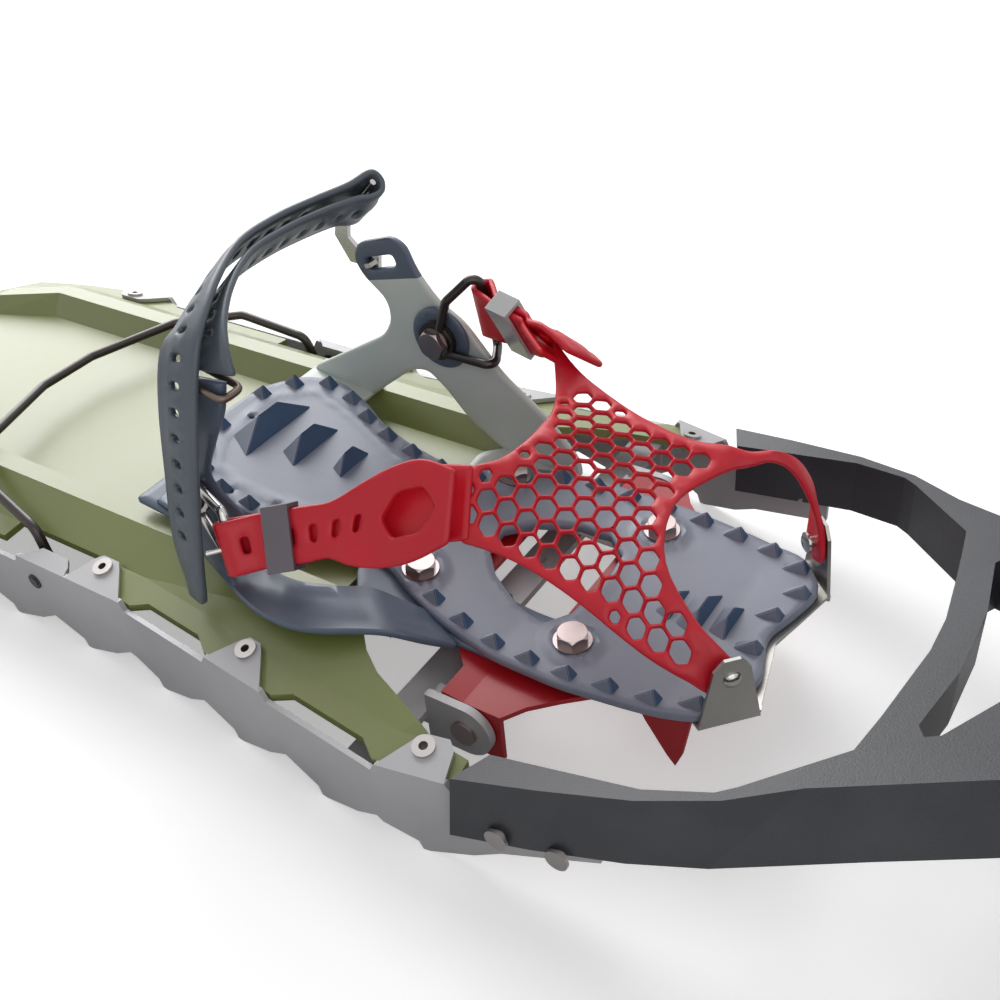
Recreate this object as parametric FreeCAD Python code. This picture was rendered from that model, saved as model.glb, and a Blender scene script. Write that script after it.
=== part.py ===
import FreeCAD, Part
import math
import os

# Right-foot trail snowshoe: moulded deck between two steel rails, pivoting binding, heel-lift bail.
# Millimetres.  +X to the toe, +Y to the inner (left) side, +Z up, Z = 0 at the rail teeth.
# X is built from the rear edge of the binding bay and moved to mid-length when a node is written.

V = FreeCAD.Vector

# ---- overall ----
NOSE_REACH = 302.5          # bay edge to toe tip
TAIL_REACH = 332.5          # bay edge to tail
REAR_HALF = 91.0            # half width over the rails, tail half
FRONT_HALF = 105.0          # half width over the rails, beside the pivot
FLARE_START = -70.0
FLARE_END = 57.0

# ---- rails ----
RAIL_SHEET = 2.0
RAIL_DEPTH = 36.0           # teeth to crease
WEB_DEPTH = 32.5            # teeth to the plain top edge
TOOTH_PITCH = 42.4
TOOTH_DEPTH = 9.5
TOOTH_DATUM = -115.5        # X of one notch top
TAB_DEPTH = 14.0
TAB_RISE = 3.5
RAIL_REAR = -266.0
RAIL_FRONT = 128.0
NOSE_RAIL_X = 88.0          # where the rail slips inside the nose arm
NOSE_RAIL_TOP = 29.0
FRONT_TAPER = 0.195

# ---- deck ----
DECK_SHEET = 3.0
PANEL_Z = 37.0
RIDGE_FOOT_Y = 47.5
RIDGE_IN_Y = 54.5
RIDGE_OUT_Y = 62.5
RIM_INSET = 2.5
SCALLOP = 4.0
ARM_FRONT = 82.0
CLEAR = 0.3                 # still pieces that only lie beside each other

# ---- rivets ----
RIVET_R = 2.3
RIVET_BORE_R = 1.5
FLANGE_R = 3.8
FLANGE_T = 1.2
RIVET_PITCH = 77.7
FRONT_RIVET_X = 68.4
RIVET_INSET = 9.5

# ---- nose ----
NOSE_SLOPE = 0.2
NOSE_TOP_Z = 43.0           # top plane above NOSE_DATUM
NOSE_DATUM = 90.0
NOSE_DEPTH = 22.0
NOSE_SKIN = 4.0
NOSE_WALL = 3.0

# ---- pivot ----
PIVOT_X = 67.0
PIVOT_Z = 23.0
PIN_R = 3.0
PIN_GAP = 0.08
EAR_FACE = 68.0             # outer face of the crampon ears
EAR_R = 10.0
BRACKET_SHEET = 3.0
SIDE_GAP = 0.5
STRIP_T = 3.0
STRIP_W = 13.0

# ---- binding stack ----
SOLE_Z = 38.5               # top of the bed under the toes
BED_T = 3.5
WING_T = 2.5
CRAMPON_T = 2.0
BOLT_R = 3.0
HEEL_RISE = 0.121
TOE_RISE = 0.1
FLAT_START = 65.0
FLAT_END = 125.0
FRONT_BOLT = (85.5, 32.5)
REAR_BOLT = (23.0, 31.0)
WING_Y = 47.5               # inner face of the inner wing
WING_BOLT_X = -17.0
WING_BOLT_Z = 87.0

# ---- heel lift ----
BAIL_X = -120.0
BAIL_Z = 25.5
BAIL_R = 2.0
BUSH_R = 3.2
BUSH_FLANGE = 1.2
BAIL_LEG_Y = 81.5           # the legs rise inside the rim, through a notch in the deck
BUSH_GAP = 0.08
BAIL_BEND = 6.0

# ---- harness and straps ----
BAND_REAR = -90.0           # heel band of the harness
BAND_FRONT = -58.0
BAND_HALF = 57.0
HEEL_STRAP_T = 2.4
STRAP_T = 2.2
LOOP_R = 1.8

MID_X = (NOSE_REACH - TAIL_REACH) / 2
SOLE_START_Z = SOLE_Z + HEEL_RISE * FLAT_START
RIDGE_Z = SOLE_START_Z - HEEL_RISE * BAND_FRONT - BED_T - WING_T - CLEAR   # the heel band rests on the ridges


# ---------------------------------------------------------------- helpers
def polygon(points):
    return Part.Face(Part.makePolygon([V(*p) for p in points] + [V(*points[0])]))


def prism_z(outline, low, high):
    return polygon([(x, y, low) for x, y in outline]).extrude(V(0, 0, high - low))


def prism_y(outline, low, high):
    return polygon([(x, low, z) for x, z in outline]).extrude(V(0, high - low, 0))


def mirrored(shape):
    return shape.mirror(V(0, 0, 0), V(0, 1, 0))


def both_sides(half):
    """Outline of a left half given from front to back on +Y, closed over the centre line."""
    return half + [(x, -y) for x, y in reversed(half) if y > 0]


def solid_from(faces):
    solid = Part.makeSolid(Part.makeShell(faces))
    if solid.Volume < 0:
        solid.reverse()
    return solid.removeSplitter()


def polyloft(loops):
    """Closed solid through a row of point loops of equal length, with flat facets between them."""
    faces = [polygon(loops[0]), polygon(loops[-1])]
    for near, far in zip(loops, loops[1:]):
        for i in range(len(near)):
            j = (i + 1) % len(near)
            faces.append(polygon([near[i], near[j], far[j]]))
            faces.append(polygon([near[i], far[j], far[i]]))
    return solid_from(faces)


def ribbon(centres, halves, thickness):
    """Strap through centre points; each half vector runs from the centre to one edge."""
    loops = []
    for i, (c, h) in enumerate(zip(centres, halves)):
        before, after = centres[max(i - 1, 0)], centres[min(i + 1, len(centres) - 1)]
        along = V(*after) - V(*before)
        side = V(*h)
        up = along.cross(side).normalize() * (thickness / 2)
        mid = V(*c)
        loops.append([mid + side + up, mid - side + up, mid - side - up, mid + side - up])
    return polyloft([[tuple(p) for p in loop] for loop in loops])


def sheet(grid, thickness):
    """Curved sheet with the given middle surface, as one closed solid of flat facets."""
    rows, cols = len(grid), len(grid[0])
    upper, lower = [], []
    for i in range(rows):
        upper.append([])
        lower.append([])
        for j in range(cols):
            along = V(*grid[min(i + 1, rows - 1)][j]) - V(*grid[max(i - 1, 0)][j])
            across = V(*grid[i][min(j + 1, cols - 1)]) - V(*grid[i][max(j - 1, 0)])
            up = along.cross(across).normalize() * (thickness / 2)
            upper[i].append(tuple(V(*grid[i][j]) + up))
            lower[i].append(tuple(V(*grid[i][j]) - up))
    faces = []
    for side in (upper, lower):
        for i in range(rows - 1):
            for j in range(cols - 1):
                faces.append(polygon([side[i][j], side[i + 1][j], side[i + 1][j + 1]]))
                faces.append(polygon([side[i][j], side[i + 1][j + 1], side[i][j + 1]]))
    rim = [(i, 0) for i in range(rows)] + [(rows - 1, j) for j in range(1, cols)]
    rim += [(i, cols - 1) for i in range(rows - 2, -1, -1)] + [(0, j) for j in range(cols - 2, 0, -1)]
    for (a, b), (c, d) in zip(rim, rim[1:] + rim[:1]):
        faces.append(polygon([upper[a][b], upper[c][d], lower[c][d]]))
        faces.append(polygon([upper[a][b], lower[c][d], lower[a][b]]))
    return solid_from(faces)


def wire_rod(points, radius, bend):
    """Round rod along straight runs joined by arcs of the given bend radius."""
    pts = [V(*p) for p in points]
    edges, start = [], pts[0]
    for a, b, c in zip(pts, pts[1:], pts[2:]):
        into, out = (b - a).normalize(), (c - b).normalize()
        turn = math.acos(max(-1.0, min(1.0, into.dot(out))))
        cut = bend * math.tan(turn / 2)
        first, last = b - into * cut, b + out * cut
        middle = b + (out - into).normalize() * (bend / math.cos(turn / 2) - bend)
        edges.append(Part.LineSegment(start, first).toShape())
        edges.append(Part.Arc(first, middle, last).toShape())
        start = last
    edges.append(Part.LineSegment(start, pts[-1]).toShape())
    path = Part.Wire(edges)
    ring = Part.Wire(Part.makeCircle(radius, pts[0], (pts[1] - pts[0]).normalize()))
    return path.makePipeShell([ring], True, False)


def cylinder(radius, length, base, axis):
    return Part.makeCylinder(radius, length, V(*base), V(*axis))


def hexagon_head(flats, height, base, axis):
    """Hex head or nut with its seat at base, standing along axis."""
    across = flats / 2 / math.cos(math.pi / 6)
    corners = [(across * math.cos(math.radians(60 * k)), across * math.sin(math.radians(60 * k)))
               for k in range(6)]
    head = prism_z(corners, 0, height)
    dome = Part.makeCone(across * 1.0, across * 0.86, height * 0.25, V(0, 0, height * 0.75))
    body = Part.makeCylinder(across, height * 0.75)
    head = head.common(body.fuse(dome))
    return placed(head, base, axis)


def placed(shape, base, axis):
    """Move a shape built at the origin along +Z to base, with +Z turned to axis."""
    turned = shape.copy()
    turned.Placement = FreeCAD.Placement(V(*base), FreeCAD.Rotation(V(0, 0, 1), V(*axis)))
    return turned


def write(name, shape):
    moved = shape.copy()
    moved.translate(V(-MID_X, 0, 0))
    moved.exportStep("parts/" + name + ".step")
    print(name, len(moved.Solids), round(moved.Volume / 1000, 2), moved.isValid())


# ---------------------------------------------------------------- rails
def wall_y(x):
    """Distance of a rail's outer face from the centre line."""
    if x <= FLARE_START:
        return REAR_HALF
    if x <= FLARE_END:
        return REAR_HALF + (FRONT_HALF - REAR_HALF) * (x - FLARE_START) / (FLARE_END - FLARE_START)
    nose_y = FRONT_HALF - (NOSE_RAIL_X - FLARE_END) * FRONT_TAPER
    if x <= NOSE_RAIL_X:
        return FRONT_HALF + (nose_y - FRONT_HALF) * (x - FLARE_END) / (NOSE_RAIL_X - FLARE_END)
    return nose_y - (x - NOSE_RAIL_X) * FRONT_TAPER


def tab_z(x, y):
    """Upper face of a folded tab: it climbs from the crease towards the centre line."""
    return RAIL_DEPTH + TAB_RISE * (wall_y(x) - y) / TAB_DEPTH


RIVET_XS = [FRONT_RIVET_X - RIVET_PITCH * k for k in (0, 1, 2, 4)]
# tab outlines: crease rear, crease front, inner rear, inner front, measured from their rivet
TAB_SPANS = [(-11, 12, -4.5, 9), (-13, 15, -5, 6), (-12, 17, -7, 7), (-14, 17, -8, 10)]
LUG_SPAN = (-39.5, -12.5, -34, -14)   # shallow lug behind the long tab, beside the bail
LUG_DEPTH = 7.0
BAIL_TAB = 2                # the long tab beside the bail


def rail_band(x0, x1):
    stations = [x0] + [x for x in (FLARE_START, FLARE_END, NOSE_RAIL_X) if x0 < x < x1] + [x1]
    outer = [(x, wall_y(x)) for x in stations]
    inner = [(x, wall_y(x) - RAIL_SHEET) for x in reversed(stations)]
    return prism_z(outer + inner, 0, RAIL_DEPTH)


def rail_profile():
    """Side outline of a rail: saw-tooth below, raised at each tab above."""
    low = []
    notch = TOOTH_DATUM + TOOTH_PITCH * math.ceil((RAIL_REAR - TOOTH_DATUM) / TOOTH_PITCH)
    while notch + TOOTH_PITCH < NOSE_RAIL_X + TOOTH_PITCH / 4:
        low += [(notch, TOOTH_DEPTH), (notch + 0.34 * TOOTH_PITCH, TOOTH_DEPTH * 0.38),
                (notch + 0.37 * TOOTH_PITCH, 0), (notch + 0.42 * TOOTH_PITCH, 0),
                (notch + 0.78 * TOOTH_PITCH, TOOTH_DEPTH * 0.47)]
        notch += TOOTH_PITCH
    low += [(notch, TOOTH_DEPTH), (RAIL_FRONT, NOSE_RAIL_TOP - 10)]
    high = [(RAIL_FRONT, NOSE_RAIL_TOP), (NOSE_RAIL_X, NOSE_RAIL_TOP)]
    for k, (x, (rear, front, _, _)) in enumerate(zip(RIVET_XS, TAB_SPANS)):
        rear = LUG_SPAN[0] if k == BAIL_TAB else rear
        high += [(x + front + 2, WEB_DEPTH), (x + front, RAIL_DEPTH), (x + rear, RAIL_DEPTH),
                 (x + rear - 2, WEB_DEPTH)]
    high += [(RAIL_REAR, WEB_DEPTH - 8)]
    return low + high + [(RAIL_REAR, TOOTH_DEPTH + 8)]


def tab(x, span, depth=TAB_DEPTH):
    rear, front, rear_in, front_in = span
    plan = [(x + rear, 0), (x + front, 0), (x + front_in, depth - 3), (x + front_in - 3, depth),
            (x + rear_in + 3, depth), (x + rear_in, depth - 3)]
    top = []
    for px, inward in plan:
        y = wall_y(px) - max(inward, 0)
        top.append((px, y, tab_z(px, y)))
    loops = [[(a, b, c - RAIL_SHEET) for a, b, c in top], top]
    return polyloft(loops)


def rivet_seat(x):
    """Centre of a rivet on the tab's upper face, and the tab's normal."""
    y = wall_y(x) - RIVET_INSET
    fall = TAB_RISE / TAB_DEPTH
    normal = V(-fall * (wall_y(x + 1) - wall_y(x - 1)) / 2, fall, 1).normalize()
    return (x, y, tab_z(x, y)), tuple(normal)


def rivet_hole(x, radius):
    seat, normal = rivet_seat(x)
    hole = Part.makeCylinder(radius, 24, V(0, 0, -16))
    return placed(hole, seat, normal)


def make_rail():
    wall = rail_band(RAIL_REAR, RAIL_FRONT).common(prism_y(rail_profile(), 0, FRONT_HALF + 10))
    rail = wall
    for x, span in zip(RIVET_XS, TAB_SPANS):
        rail = rail.fuse(tab(x, span))
    rail = rail.fuse(tab(RIVET_XS[BAIL_TAB], LUG_SPAN, LUG_DEPTH))
    for x in RIVET_XS:
        rail = rail.cut(rivet_hole(x, RIVET_R))
    rail = rail.cut(cylinder(BUSH_R, 8, (BAIL_X, REAR_HALF - 5, BAIL_Z), (0, 1, 0)))
    for x in NOSE_RIVET_XS:
        rail = rail.cut(nose_rivet_hole(x))
    return rail.removeSplitter()


# ---------------------------------------------------------------- deck
def deck_section(x):
    """Half profile of the deck's upper face at one station, from the centre line outwards."""
    wall = wall_y(x)
    shoulder = wall - TAB_DEPTH
    drop = TAB_RISE / TAB_DEPTH
    rim = wall - RIM_INSET
    shoulder_z = RAIL_DEPTH + TAB_RISE - RAIL_SHEET - CLEAR
    close = max(0.0, min(1.0, (RAIL_REAR - x) / (TAIL_REACH + RAIL_REAR)))
    inward = 26 * close
    ridge_z = RIDGE_Z + (PANEL_Z - RIDGE_Z) * close ** 2
    return [(0, PANEL_Z), (RIDGE_FOOT_Y - inward, PANEL_Z), (RIDGE_IN_Y - inward, ridge_z),
            (RIDGE_OUT_Y - inward, ridge_z), (shoulder, shoulder_z),
            (rim, shoulder_z - drop * (rim - shoulder))]


def make_deck():
    loops = []
    for x in (-TAIL_REACH, (RAIL_REAR - TAIL_REACH) / 2, RAIL_REAR, FLARE_START, FLARE_END, ARM_FRONT):
        half = deck_section(x)
        line = [(-y, z) for y, z in reversed(half[1:])] + half
        top = [(x, y, z) for y, z in line]
        bottom = [(x, y, z - DECK_SHEET) for y, z in reversed(line)]
        loops.append(top + bottom)
    slab = polyloft(loops)
    deck = slab.common(prism_z(deck_outline(), 0, RIDGE_Z + 10))
    notch = prism_z([(BAIL_X - 20, BAIL_LEG_Y - BAIL_R - 3), (BAIL_X + 25, BAIL_LEG_Y - BAIL_R - 3),
                     (BAIL_X + 25, FRONT_HALF), (BAIL_X - 26, FRONT_HALF)], 0, RIDGE_Z)
    deck = deck.cut([notch, mirrored(notch)])
    for x in RIVET_XS:
        for hole in (rivet_hole(x, RIVET_R), mirrored(rivet_hole(x, RIVET_R))):
            deck = deck.cut(hole)
    return deck.removeSplitter()


def deck_outline():
    """Plan of the deck: bay and arms in front, scalloped rims, blunt tail."""
    bay = [(0, 46), (19, 60), (30, 71.5), (38.5, 77), (FRONT_RIVET_X, 88.5), (ARM_FRONT, 89.5)]
    rim = [(ARM_FRONT, wall_y(ARM_FRONT) - RIM_INSET)]
    for k in range(len(RIVET_XS) - 1):
        rear = RIVET_XS[k] + TAB_SPANS[k][0] - 3
        front = RIVET_XS[k + 1] + TAB_SPANS[k + 1][1] + 3
        for x, depth in ((rear, 0), (rear - 7, SCALLOP), (front + 7, SCALLOP), (front, 0)):
            rim.append((x, wall_y(x) - RIM_INSET - depth))
    tail = [(-255, REAR_HALF - RIM_INSET), (-280, 80), (-298, 69), (-312, 50), (-325, 26), (-TAIL_REACH, 9)]
    return both_sides(bay + rim + tail)


# ---------------------------------------------------------------- rivets
def tube_rivet(x, grip):
    """Tubular rivet clamping tab and deck, rolled over on both faces."""
    head = Part.makeCylinder(FLANGE_R, FLANGE_T)
    shank = Part.makeCylinder(RIVET_R, grip, V(0, 0, -grip))
    tail = Part.makeCylinder(FLANGE_R - 0.4, FLANGE_T, V(0, 0, -grip - FLANGE_T))
    bore = Part.makeCylinder(RIVET_BORE_R, grip + 3 * FLANGE_T, V(0, 0, -grip - 1.5 * FLANGE_T))
    rivet = head.fuse(shank).fuse(tail).cut(bore)
    seat, normal = rivet_seat(x)
    return placed(rivet.removeSplitter(), seat, normal)


def make_deck_rivets():
    tilt = math.cos(math.atan(TAB_RISE / TAB_DEPTH))
    grip = (RAIL_SHEET + CLEAR + DECK_SHEET) * tilt
    rivets = [tube_rivet(x, grip) for x in RIVET_XS]
    return Part.Compound(rivets + [mirrored(r) for r in rivets])


NOSE_RIVET_XS = (100.0, 119.0)
NOSE_CAVITY_REAR = 178.0
ARM_GAP = 0.4
NOSE_RIVET_Z = 26.0


def nose_rivet_hole(x, radius=RIVET_R):
    return cylinder(radius, 20, (x, wall_y(x) - 6, NOSE_RIVET_Z), (0, 1, 0))


# ---------------------------------------------------------------- nose
NOSE_LOW = [(84, 105.2), (110, 101), (138, 95), (160, 88), (178, 79.5), (198, 70), (221, 59.5), (250, 46),
            (276, 32), (294, 16.5), (NOSE_REACH, 5)]
NOSE_HIGH = [(84, 101.5), (110, 96.5), (138, 90), (160, 81.5), (178, 70), (198, 61), (221, 50.6), (248, 38.5),
             (271, 26), (287, 13), (294, 4)]
NOSE_BAY = [(191.5, 7.5), (187.5, 38), (185, 52.5), (162, 75.5), (157, 79.5), (138, 85.5), (90, 89)]
WINDOW = [(222, 8), (214, 23), (204, 40), (200, 42), (197.5, 38), (201.5, 14)]


def nose_plane(x, drop):
    return NOSE_TOP_Z + NOSE_SLOPE * (x - NOSE_DATUM) - drop


def nose_block(low, high, bay, top_drop, bottom_drop):
    def loop(edge, drop):
        half = list(reversed(edge)) + [(x, y) for x, y in reversed(bay)]
        ring = half + [(x, -y) for x, y in reversed(half)]
        return [(x, y, nose_plane(x, drop)) for x, y in ring]
    return polyloft([loop(low, bottom_drop), loop(high, top_drop)])


def inset(points, distance):
    """Same open outline moved to its right-hand side by a distance, with mitred corners."""
    moved = []
    for i, (x, y) in enumerate(points):
        (ax, ay), (bx, by) = points[max(i - 1, 0)], points[min(i + 1, len(points) - 1)]
        length = math.hypot(bx - ax, by - ay)
        moved.append((x + distance * (by - ay) / length, y - distance * (bx - ax) / length))
    return moved


def front_cavity():
    """Hollow under the nose, ahead of the toe bay, with a rim left round the window."""
    first = sum(1 for x, _ in NOSE_LOW if x < NOSE_CAVITY_REAR)
    low, high = inset(NOSE_LOW, NOSE_WALL)[first:], inset(NOSE_HIGH, NOSE_WALL)[first:]
    bay = inset(NOSE_BAY, NOSE_WALL)[:3]
    low[-1], high[-1] = (low[-1][0], NOSE_WALL), (high[-1][0], NOSE_WALL)
    cavity = nose_block(low, high, bay, NOSE_SKIN, NOSE_DEPTH + 1)
    pane = prism_z(both_sides(WINDOW), 0, NOSE_REACH)
    rim = pane.fuse([placed(pane, (dx, dy, 0), (0, 0, 1)) for dx in (-NOSE_WALL, NOSE_WALL)
                     for dy in (-NOSE_WALL, NOSE_WALL)])
    return cavity.cut(rim)


def arm_slot():
    """Slot in the left nose arm that takes the front end of the rail."""
    front, rear = RAIL_FRONT + ARM_GAP, NOSE_LOW[0][0] - 1
    band = [(rear, wall_y(rear) + ARM_GAP), (front, wall_y(front) + ARM_GAP),
            (front, wall_y(front) - RAIL_SHEET - ARM_GAP), (rear, wall_y(rear) - RAIL_SHEET - ARM_GAP)]
    return prism_z(band, 0, NOSE_RAIL_TOP + ARM_GAP)


def make_nose():
    nose = nose_block(NOSE_LOW, NOSE_HIGH, NOSE_BAY, 0, NOSE_DEPTH).cut(front_cavity())
    nose = nose.cut([arm_slot(), mirrored(arm_slot()), prism_z(both_sides(WINDOW), 0, NOSE_REACH)])
    for x in NOSE_RIVET_XS:
        nose = nose.cut(nose_rivet_hole(x)).cut(mirrored(nose_rivet_hole(x)))
    return nose


def make_nose_rivets():
    """Blind rivets through the nose arms and the rails inside them."""
    rivets = []
    for x in NOSE_RIVET_XS:
        face = arm_face_y(x)
        shank = cylinder(RIVET_R, face - wall_y(x) + RAIL_SHEET + 1, (x, wall_y(x) - RAIL_SHEET - 1, NOSE_RIVET_Z),
                         (0, 1, 0))
        head = cylinder(FLANGE_R, FLANGE_T, (x, face + 0.8, NOSE_RIVET_Z), (0, 1, 0))
        rivet = shank.fuse([head, cylinder(RIVET_R, 1.2, (x, face - 0.2, NOSE_RIVET_Z), (0, 1, 0))]).removeSplitter()
        rivets += [rivet, mirrored(rivet)]
    return Part.Compound(rivets)


def arm_face_y(x):
    """Outer face of a nose arm at the height of its rivets."""
    def at(edge):
        for (x0, y0), (x1, y1) in zip(edge, edge[1:]):
            if x0 <= x <= x1:
                return y0 + (y1 - y0) * (x - x0) / (x1 - x0)
    rise = (NOSE_RIVET_Z - nose_plane(x, NOSE_DEPTH)) / NOSE_DEPTH
    return at(NOSE_LOW) + (at(NOSE_HIGH) - at(NOSE_LOW)) * rise


# ---------------------------------------------------------------- pivot
BRACKET_OUT = EAR_FACE + SIDE_GAP + BRACKET_SHEET
BRACKET_IN = EAR_FACE - CRAMPON_T - SIDE_GAP - BRACKET_SHEET
WEB_REAR = PIVOT_X - EAR_R - 2 - BRACKET_SHEET
STRIP_TOP = PIVOT_Z + 2


def make_cross_member():
    """Steel strip between the rails; its ends widen under the front rivets."""
    front, rear = WEB_REAR, WEB_REAR - STRIP_W
    end = wall_y(rear) - RAIL_SHEET - 0.1
    plan = [(rear, -end), (rear, end), (front, end), (front, -end)]
    strip = prism_z(plan, STRIP_TOP - STRIP_T, STRIP_TOP)
    for y in (-12.0, 12.0):
        strip = strip.cut(cylinder(2.2, STRIP_T + 2, ((front + rear) / 2, y, STRIP_TOP - STRIP_T - 1), (0, 0, 1)))
    flange = prism_y([(rear, STRIP_TOP - STRIP_T), (rear + 2, STRIP_TOP - STRIP_T),
                      (rear + 2, STRIP_TOP - 10), (rear, STRIP_TOP - 10)], -BRACKET_IN, BRACKET_IN)
    ears = []
    for sign in (1, -1):
        ear = [(rear, sign * end), (front, sign * end), (front, sign * (end - 2)), (rear, sign * (end - 2))]
        ears.append(prism_z(ear, STRIP_TOP - STRIP_T - 9, STRIP_TOP - STRIP_T))
    return strip.fuse([flange] + ears).removeSplitter()


def cheek(radius, inner_face):
    """Rounded ear of a clevis, with its straight back on the web."""
    disc = cylinder(radius, BRACKET_SHEET, (PIVOT_X, inner_face, PIVOT_Z), (0, 1, 0))
    back = prism_y([(WEB_REAR, PIVOT_Z - radius), (PIVOT_X, PIVOT_Z - radius), (PIVOT_X, PIVOT_Z + radius),
                    (WEB_REAR, PIVOT_Z + radius)], inner_face, inner_face + BRACKET_SHEET)
    return disc.fuse(back)


def make_bracket():
    """U clevis on the left side; the inner ear is small enough to clear the turning crampon plate."""
    small = sole(PIVOT_X) - CRAMPON_DEPTH - CRAMPON_T - PIVOT_Z - SIDE_GAP
    web = prism_y([(WEB_REAR, PIVOT_Z - small), (WEB_REAR + BRACKET_SHEET, PIVOT_Z - small),
                   (WEB_REAR + BRACKET_SHEET, PIVOT_Z + small), (WEB_REAR, PIVOT_Z + small)],
                  BRACKET_IN, BRACKET_OUT)
    foot = prism_z([(WEB_REAR - STRIP_W + 2, BRACKET_IN), (WEB_REAR, BRACKET_IN), (WEB_REAR, BRACKET_OUT),
                    (WEB_REAR - STRIP_W + 2, BRACKET_OUT)], STRIP_TOP - STRIP_T - BRACKET_SHEET, STRIP_TOP - STRIP_T)
    clevis = web.fuse([cheek(small, BRACKET_IN), cheek(EAR_R, BRACKET_OUT - BRACKET_SHEET), foot])
    clevis = clevis.cut(cylinder(PIN_R, 20, (PIVOT_X, BRACKET_IN - 5, PIVOT_Z), (0, 1, 0)))
    return clevis.removeSplitter()


def make_pin():
    """Headed pin through both ears of the left clevis, peened on the inner side."""
    shank = cylinder(PIN_R, BRACKET_OUT - BRACKET_IN + 2, (PIVOT_X, BRACKET_IN - 1, PIVOT_Z), (0, 1, 0))
    head = cylinder(PIN_R + 1.6, 1.6, (PIVOT_X, BRACKET_OUT, PIVOT_Z), (0, 1, 0))
    peen = cylinder(PIN_R + 0.8, 1.0, (PIVOT_X, BRACKET_IN - 1, PIVOT_Z), (0, 1, 0))
    return shank.fuse(head).fuse(peen).removeSplitter()


# ---------------------------------------------------------------- heel lift
BAIL_PATH = [(BAIL_X, REAR_HALF + 0.8, BAIL_Z), (BAIL_X, BAIL_LEG_Y, BAIL_Z), (BAIL_X - 5, BAIL_LEG_Y - 1, 42.5),
             (BAIL_X - 38, REAR_HALF - 16, 49.5), (BAIL_X - 63, 55, RIDGE_Z + BAIL_R + CLEAR),
             (BAIL_X - 76, 14, RIDGE_Z + BAIL_R + CLEAR)]


def make_bail():
    left = BAIL_PATH
    right = [(x, -y, z) for x, y, z in reversed(left)]
    return wire_rod(left + right, BAIL_R, BAIL_BEND)


def make_bushes():
    """Plastic bushes pressed into the rails, each with a flange inside."""
    bush = cylinder(BUSH_R, RAIL_SHEET + 0.5, (BAIL_X, REAR_HALF - RAIL_SHEET, BAIL_Z), (0, 1, 0))
    inner = cylinder(BUSH_R + 1.0, BUSH_FLANGE, (BAIL_X, REAR_HALF - RAIL_SHEET - BUSH_FLANGE, BAIL_Z), (0, 1, 0))
    bore = cylinder(BAIL_R + BUSH_GAP, 12, (BAIL_X, REAR_HALF - 6, BAIL_Z), (0, 1, 0))
    bush = bush.fuse(inner).cut(bore).removeSplitter()
    return Part.Compound([bush, mirrored(bush)])


# ---------------------------------------------------------------- binding layers
def sole(x):
    """Height of the bed's upper face: flat under the toes, climbing to the heel."""
    if x < 0:
        return sole(0) - HEEL_RISE * x
    if x < FLAT_START:
        return SOLE_Z + HEEL_RISE * (FLAT_START - x)
    return SOLE_Z + TOE_RISE * max(0.0, x - FLAT_END)


def layer(outline, below, thickness, x0=-110.0, x1=175.0):
    """Plate that follows the sole line, its upper face a given depth below it, cut to a plan outline."""
    bends = [x0] + [x for x in (FLAT_START, FLAT_END) if x0 < x < x1] + [x1]
    top = [(x, sole(x) - below) for x in bends]
    low = [(x, z - thickness) for x, z in reversed(top)]
    return prism_y(top + low, -100, 100).common(prism_z(outline, -10, 120))


BED_RIGHT = [(147, -21), (137, -43), (118, -47.5), (90, -51), (66, -50.5), (43, -47), (24, -41), (10, -34),
             (-8, -34), (-25, -39.5), (-50, -43.5), (-72, -41), (-86, -32), (-94, -16)]
BED_LEFT = [(-96, 4), (-94, 22), (-85, 37), (-70, 43), (-52, 37), (-40, 30), (-22, 25), (-4, 23), (8, 24),
            (19, 36), (38, 45), (62, 50), (90, 50), (118, 46), (137, 42), (148, 27), (144, 11), (140, 0)]
BED_MOUTH = [(36, 3), (44, 13), (58, 21), (70, 22), (79, 14), (80, 0), (78, -20), (72, -29), (60, -26), (46, -18),
             (37, -8)]
HEEL_BLADES = [(-74.4, 20, 9), (-54, 14.5, 8), (-33.6, 9.5, 7)]
TOE_BLADES = [(116, 13, 5), (126, 10, 5)]


def blade(x, half, height):
    """Transverse rib with a long ramp in front of a steep back."""
    z = sole(x) - 1.5
    base = [(x - 2.5, -half, z), (x - 2.5, half, z), (x + 4, half * 0.9, z), (x + 4, -half * 0.9, z)]
    ridge = [(x - 0.4, half * 0.15, z + height + 1.5), (x + 0.4, half * 0.15, z + height + 1.5),
             (x + 0.4, -half * 0.15, z + height + 1.5), (x - 0.4, -half * 0.15, z + height + 1.5)]
    return polyloft([base, [ridge[3], ridge[0], ridge[1], ridge[2]]])


def bolt_places():
    for x, y in (FRONT_BOLT, REAR_BOLT):
        yield x, y
        yield x, -y


def bolt_column(x, y, radius, high, low):
    """Cylinder square to the sole line at a binding bolt, from high above the sole to low under it."""
    axis = V(HEEL_RISE if x < FLAT_START else 0, 0, 1).normalize()
    return cylinder(radius, high + low, tuple(V(x, y, sole(x)) - axis * low), tuple(axis))


def make_bed():
    bed = layer(BED_RIGHT + BED_LEFT, 0, BED_T)
    bed = bed.cut(prism_z(BED_MOUTH, 0, 80))
    for x, half, height in HEEL_BLADES + TOE_BLADES:
        bed = bed.fuse(blade(x, half, height))
    for x, y in bolt_places():
        bed = bed.fuse(bolt_column(x, y, BED_RING_R, 2.0, 1.0)).cut(bolt_column(x, y, WASHER_R + 0.6, 8, 0))
        bed = bed.cut(bolt_column(x, y, BOLT_R + 0.1, 8, 12))
    return bed.removeSplitter()


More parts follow.
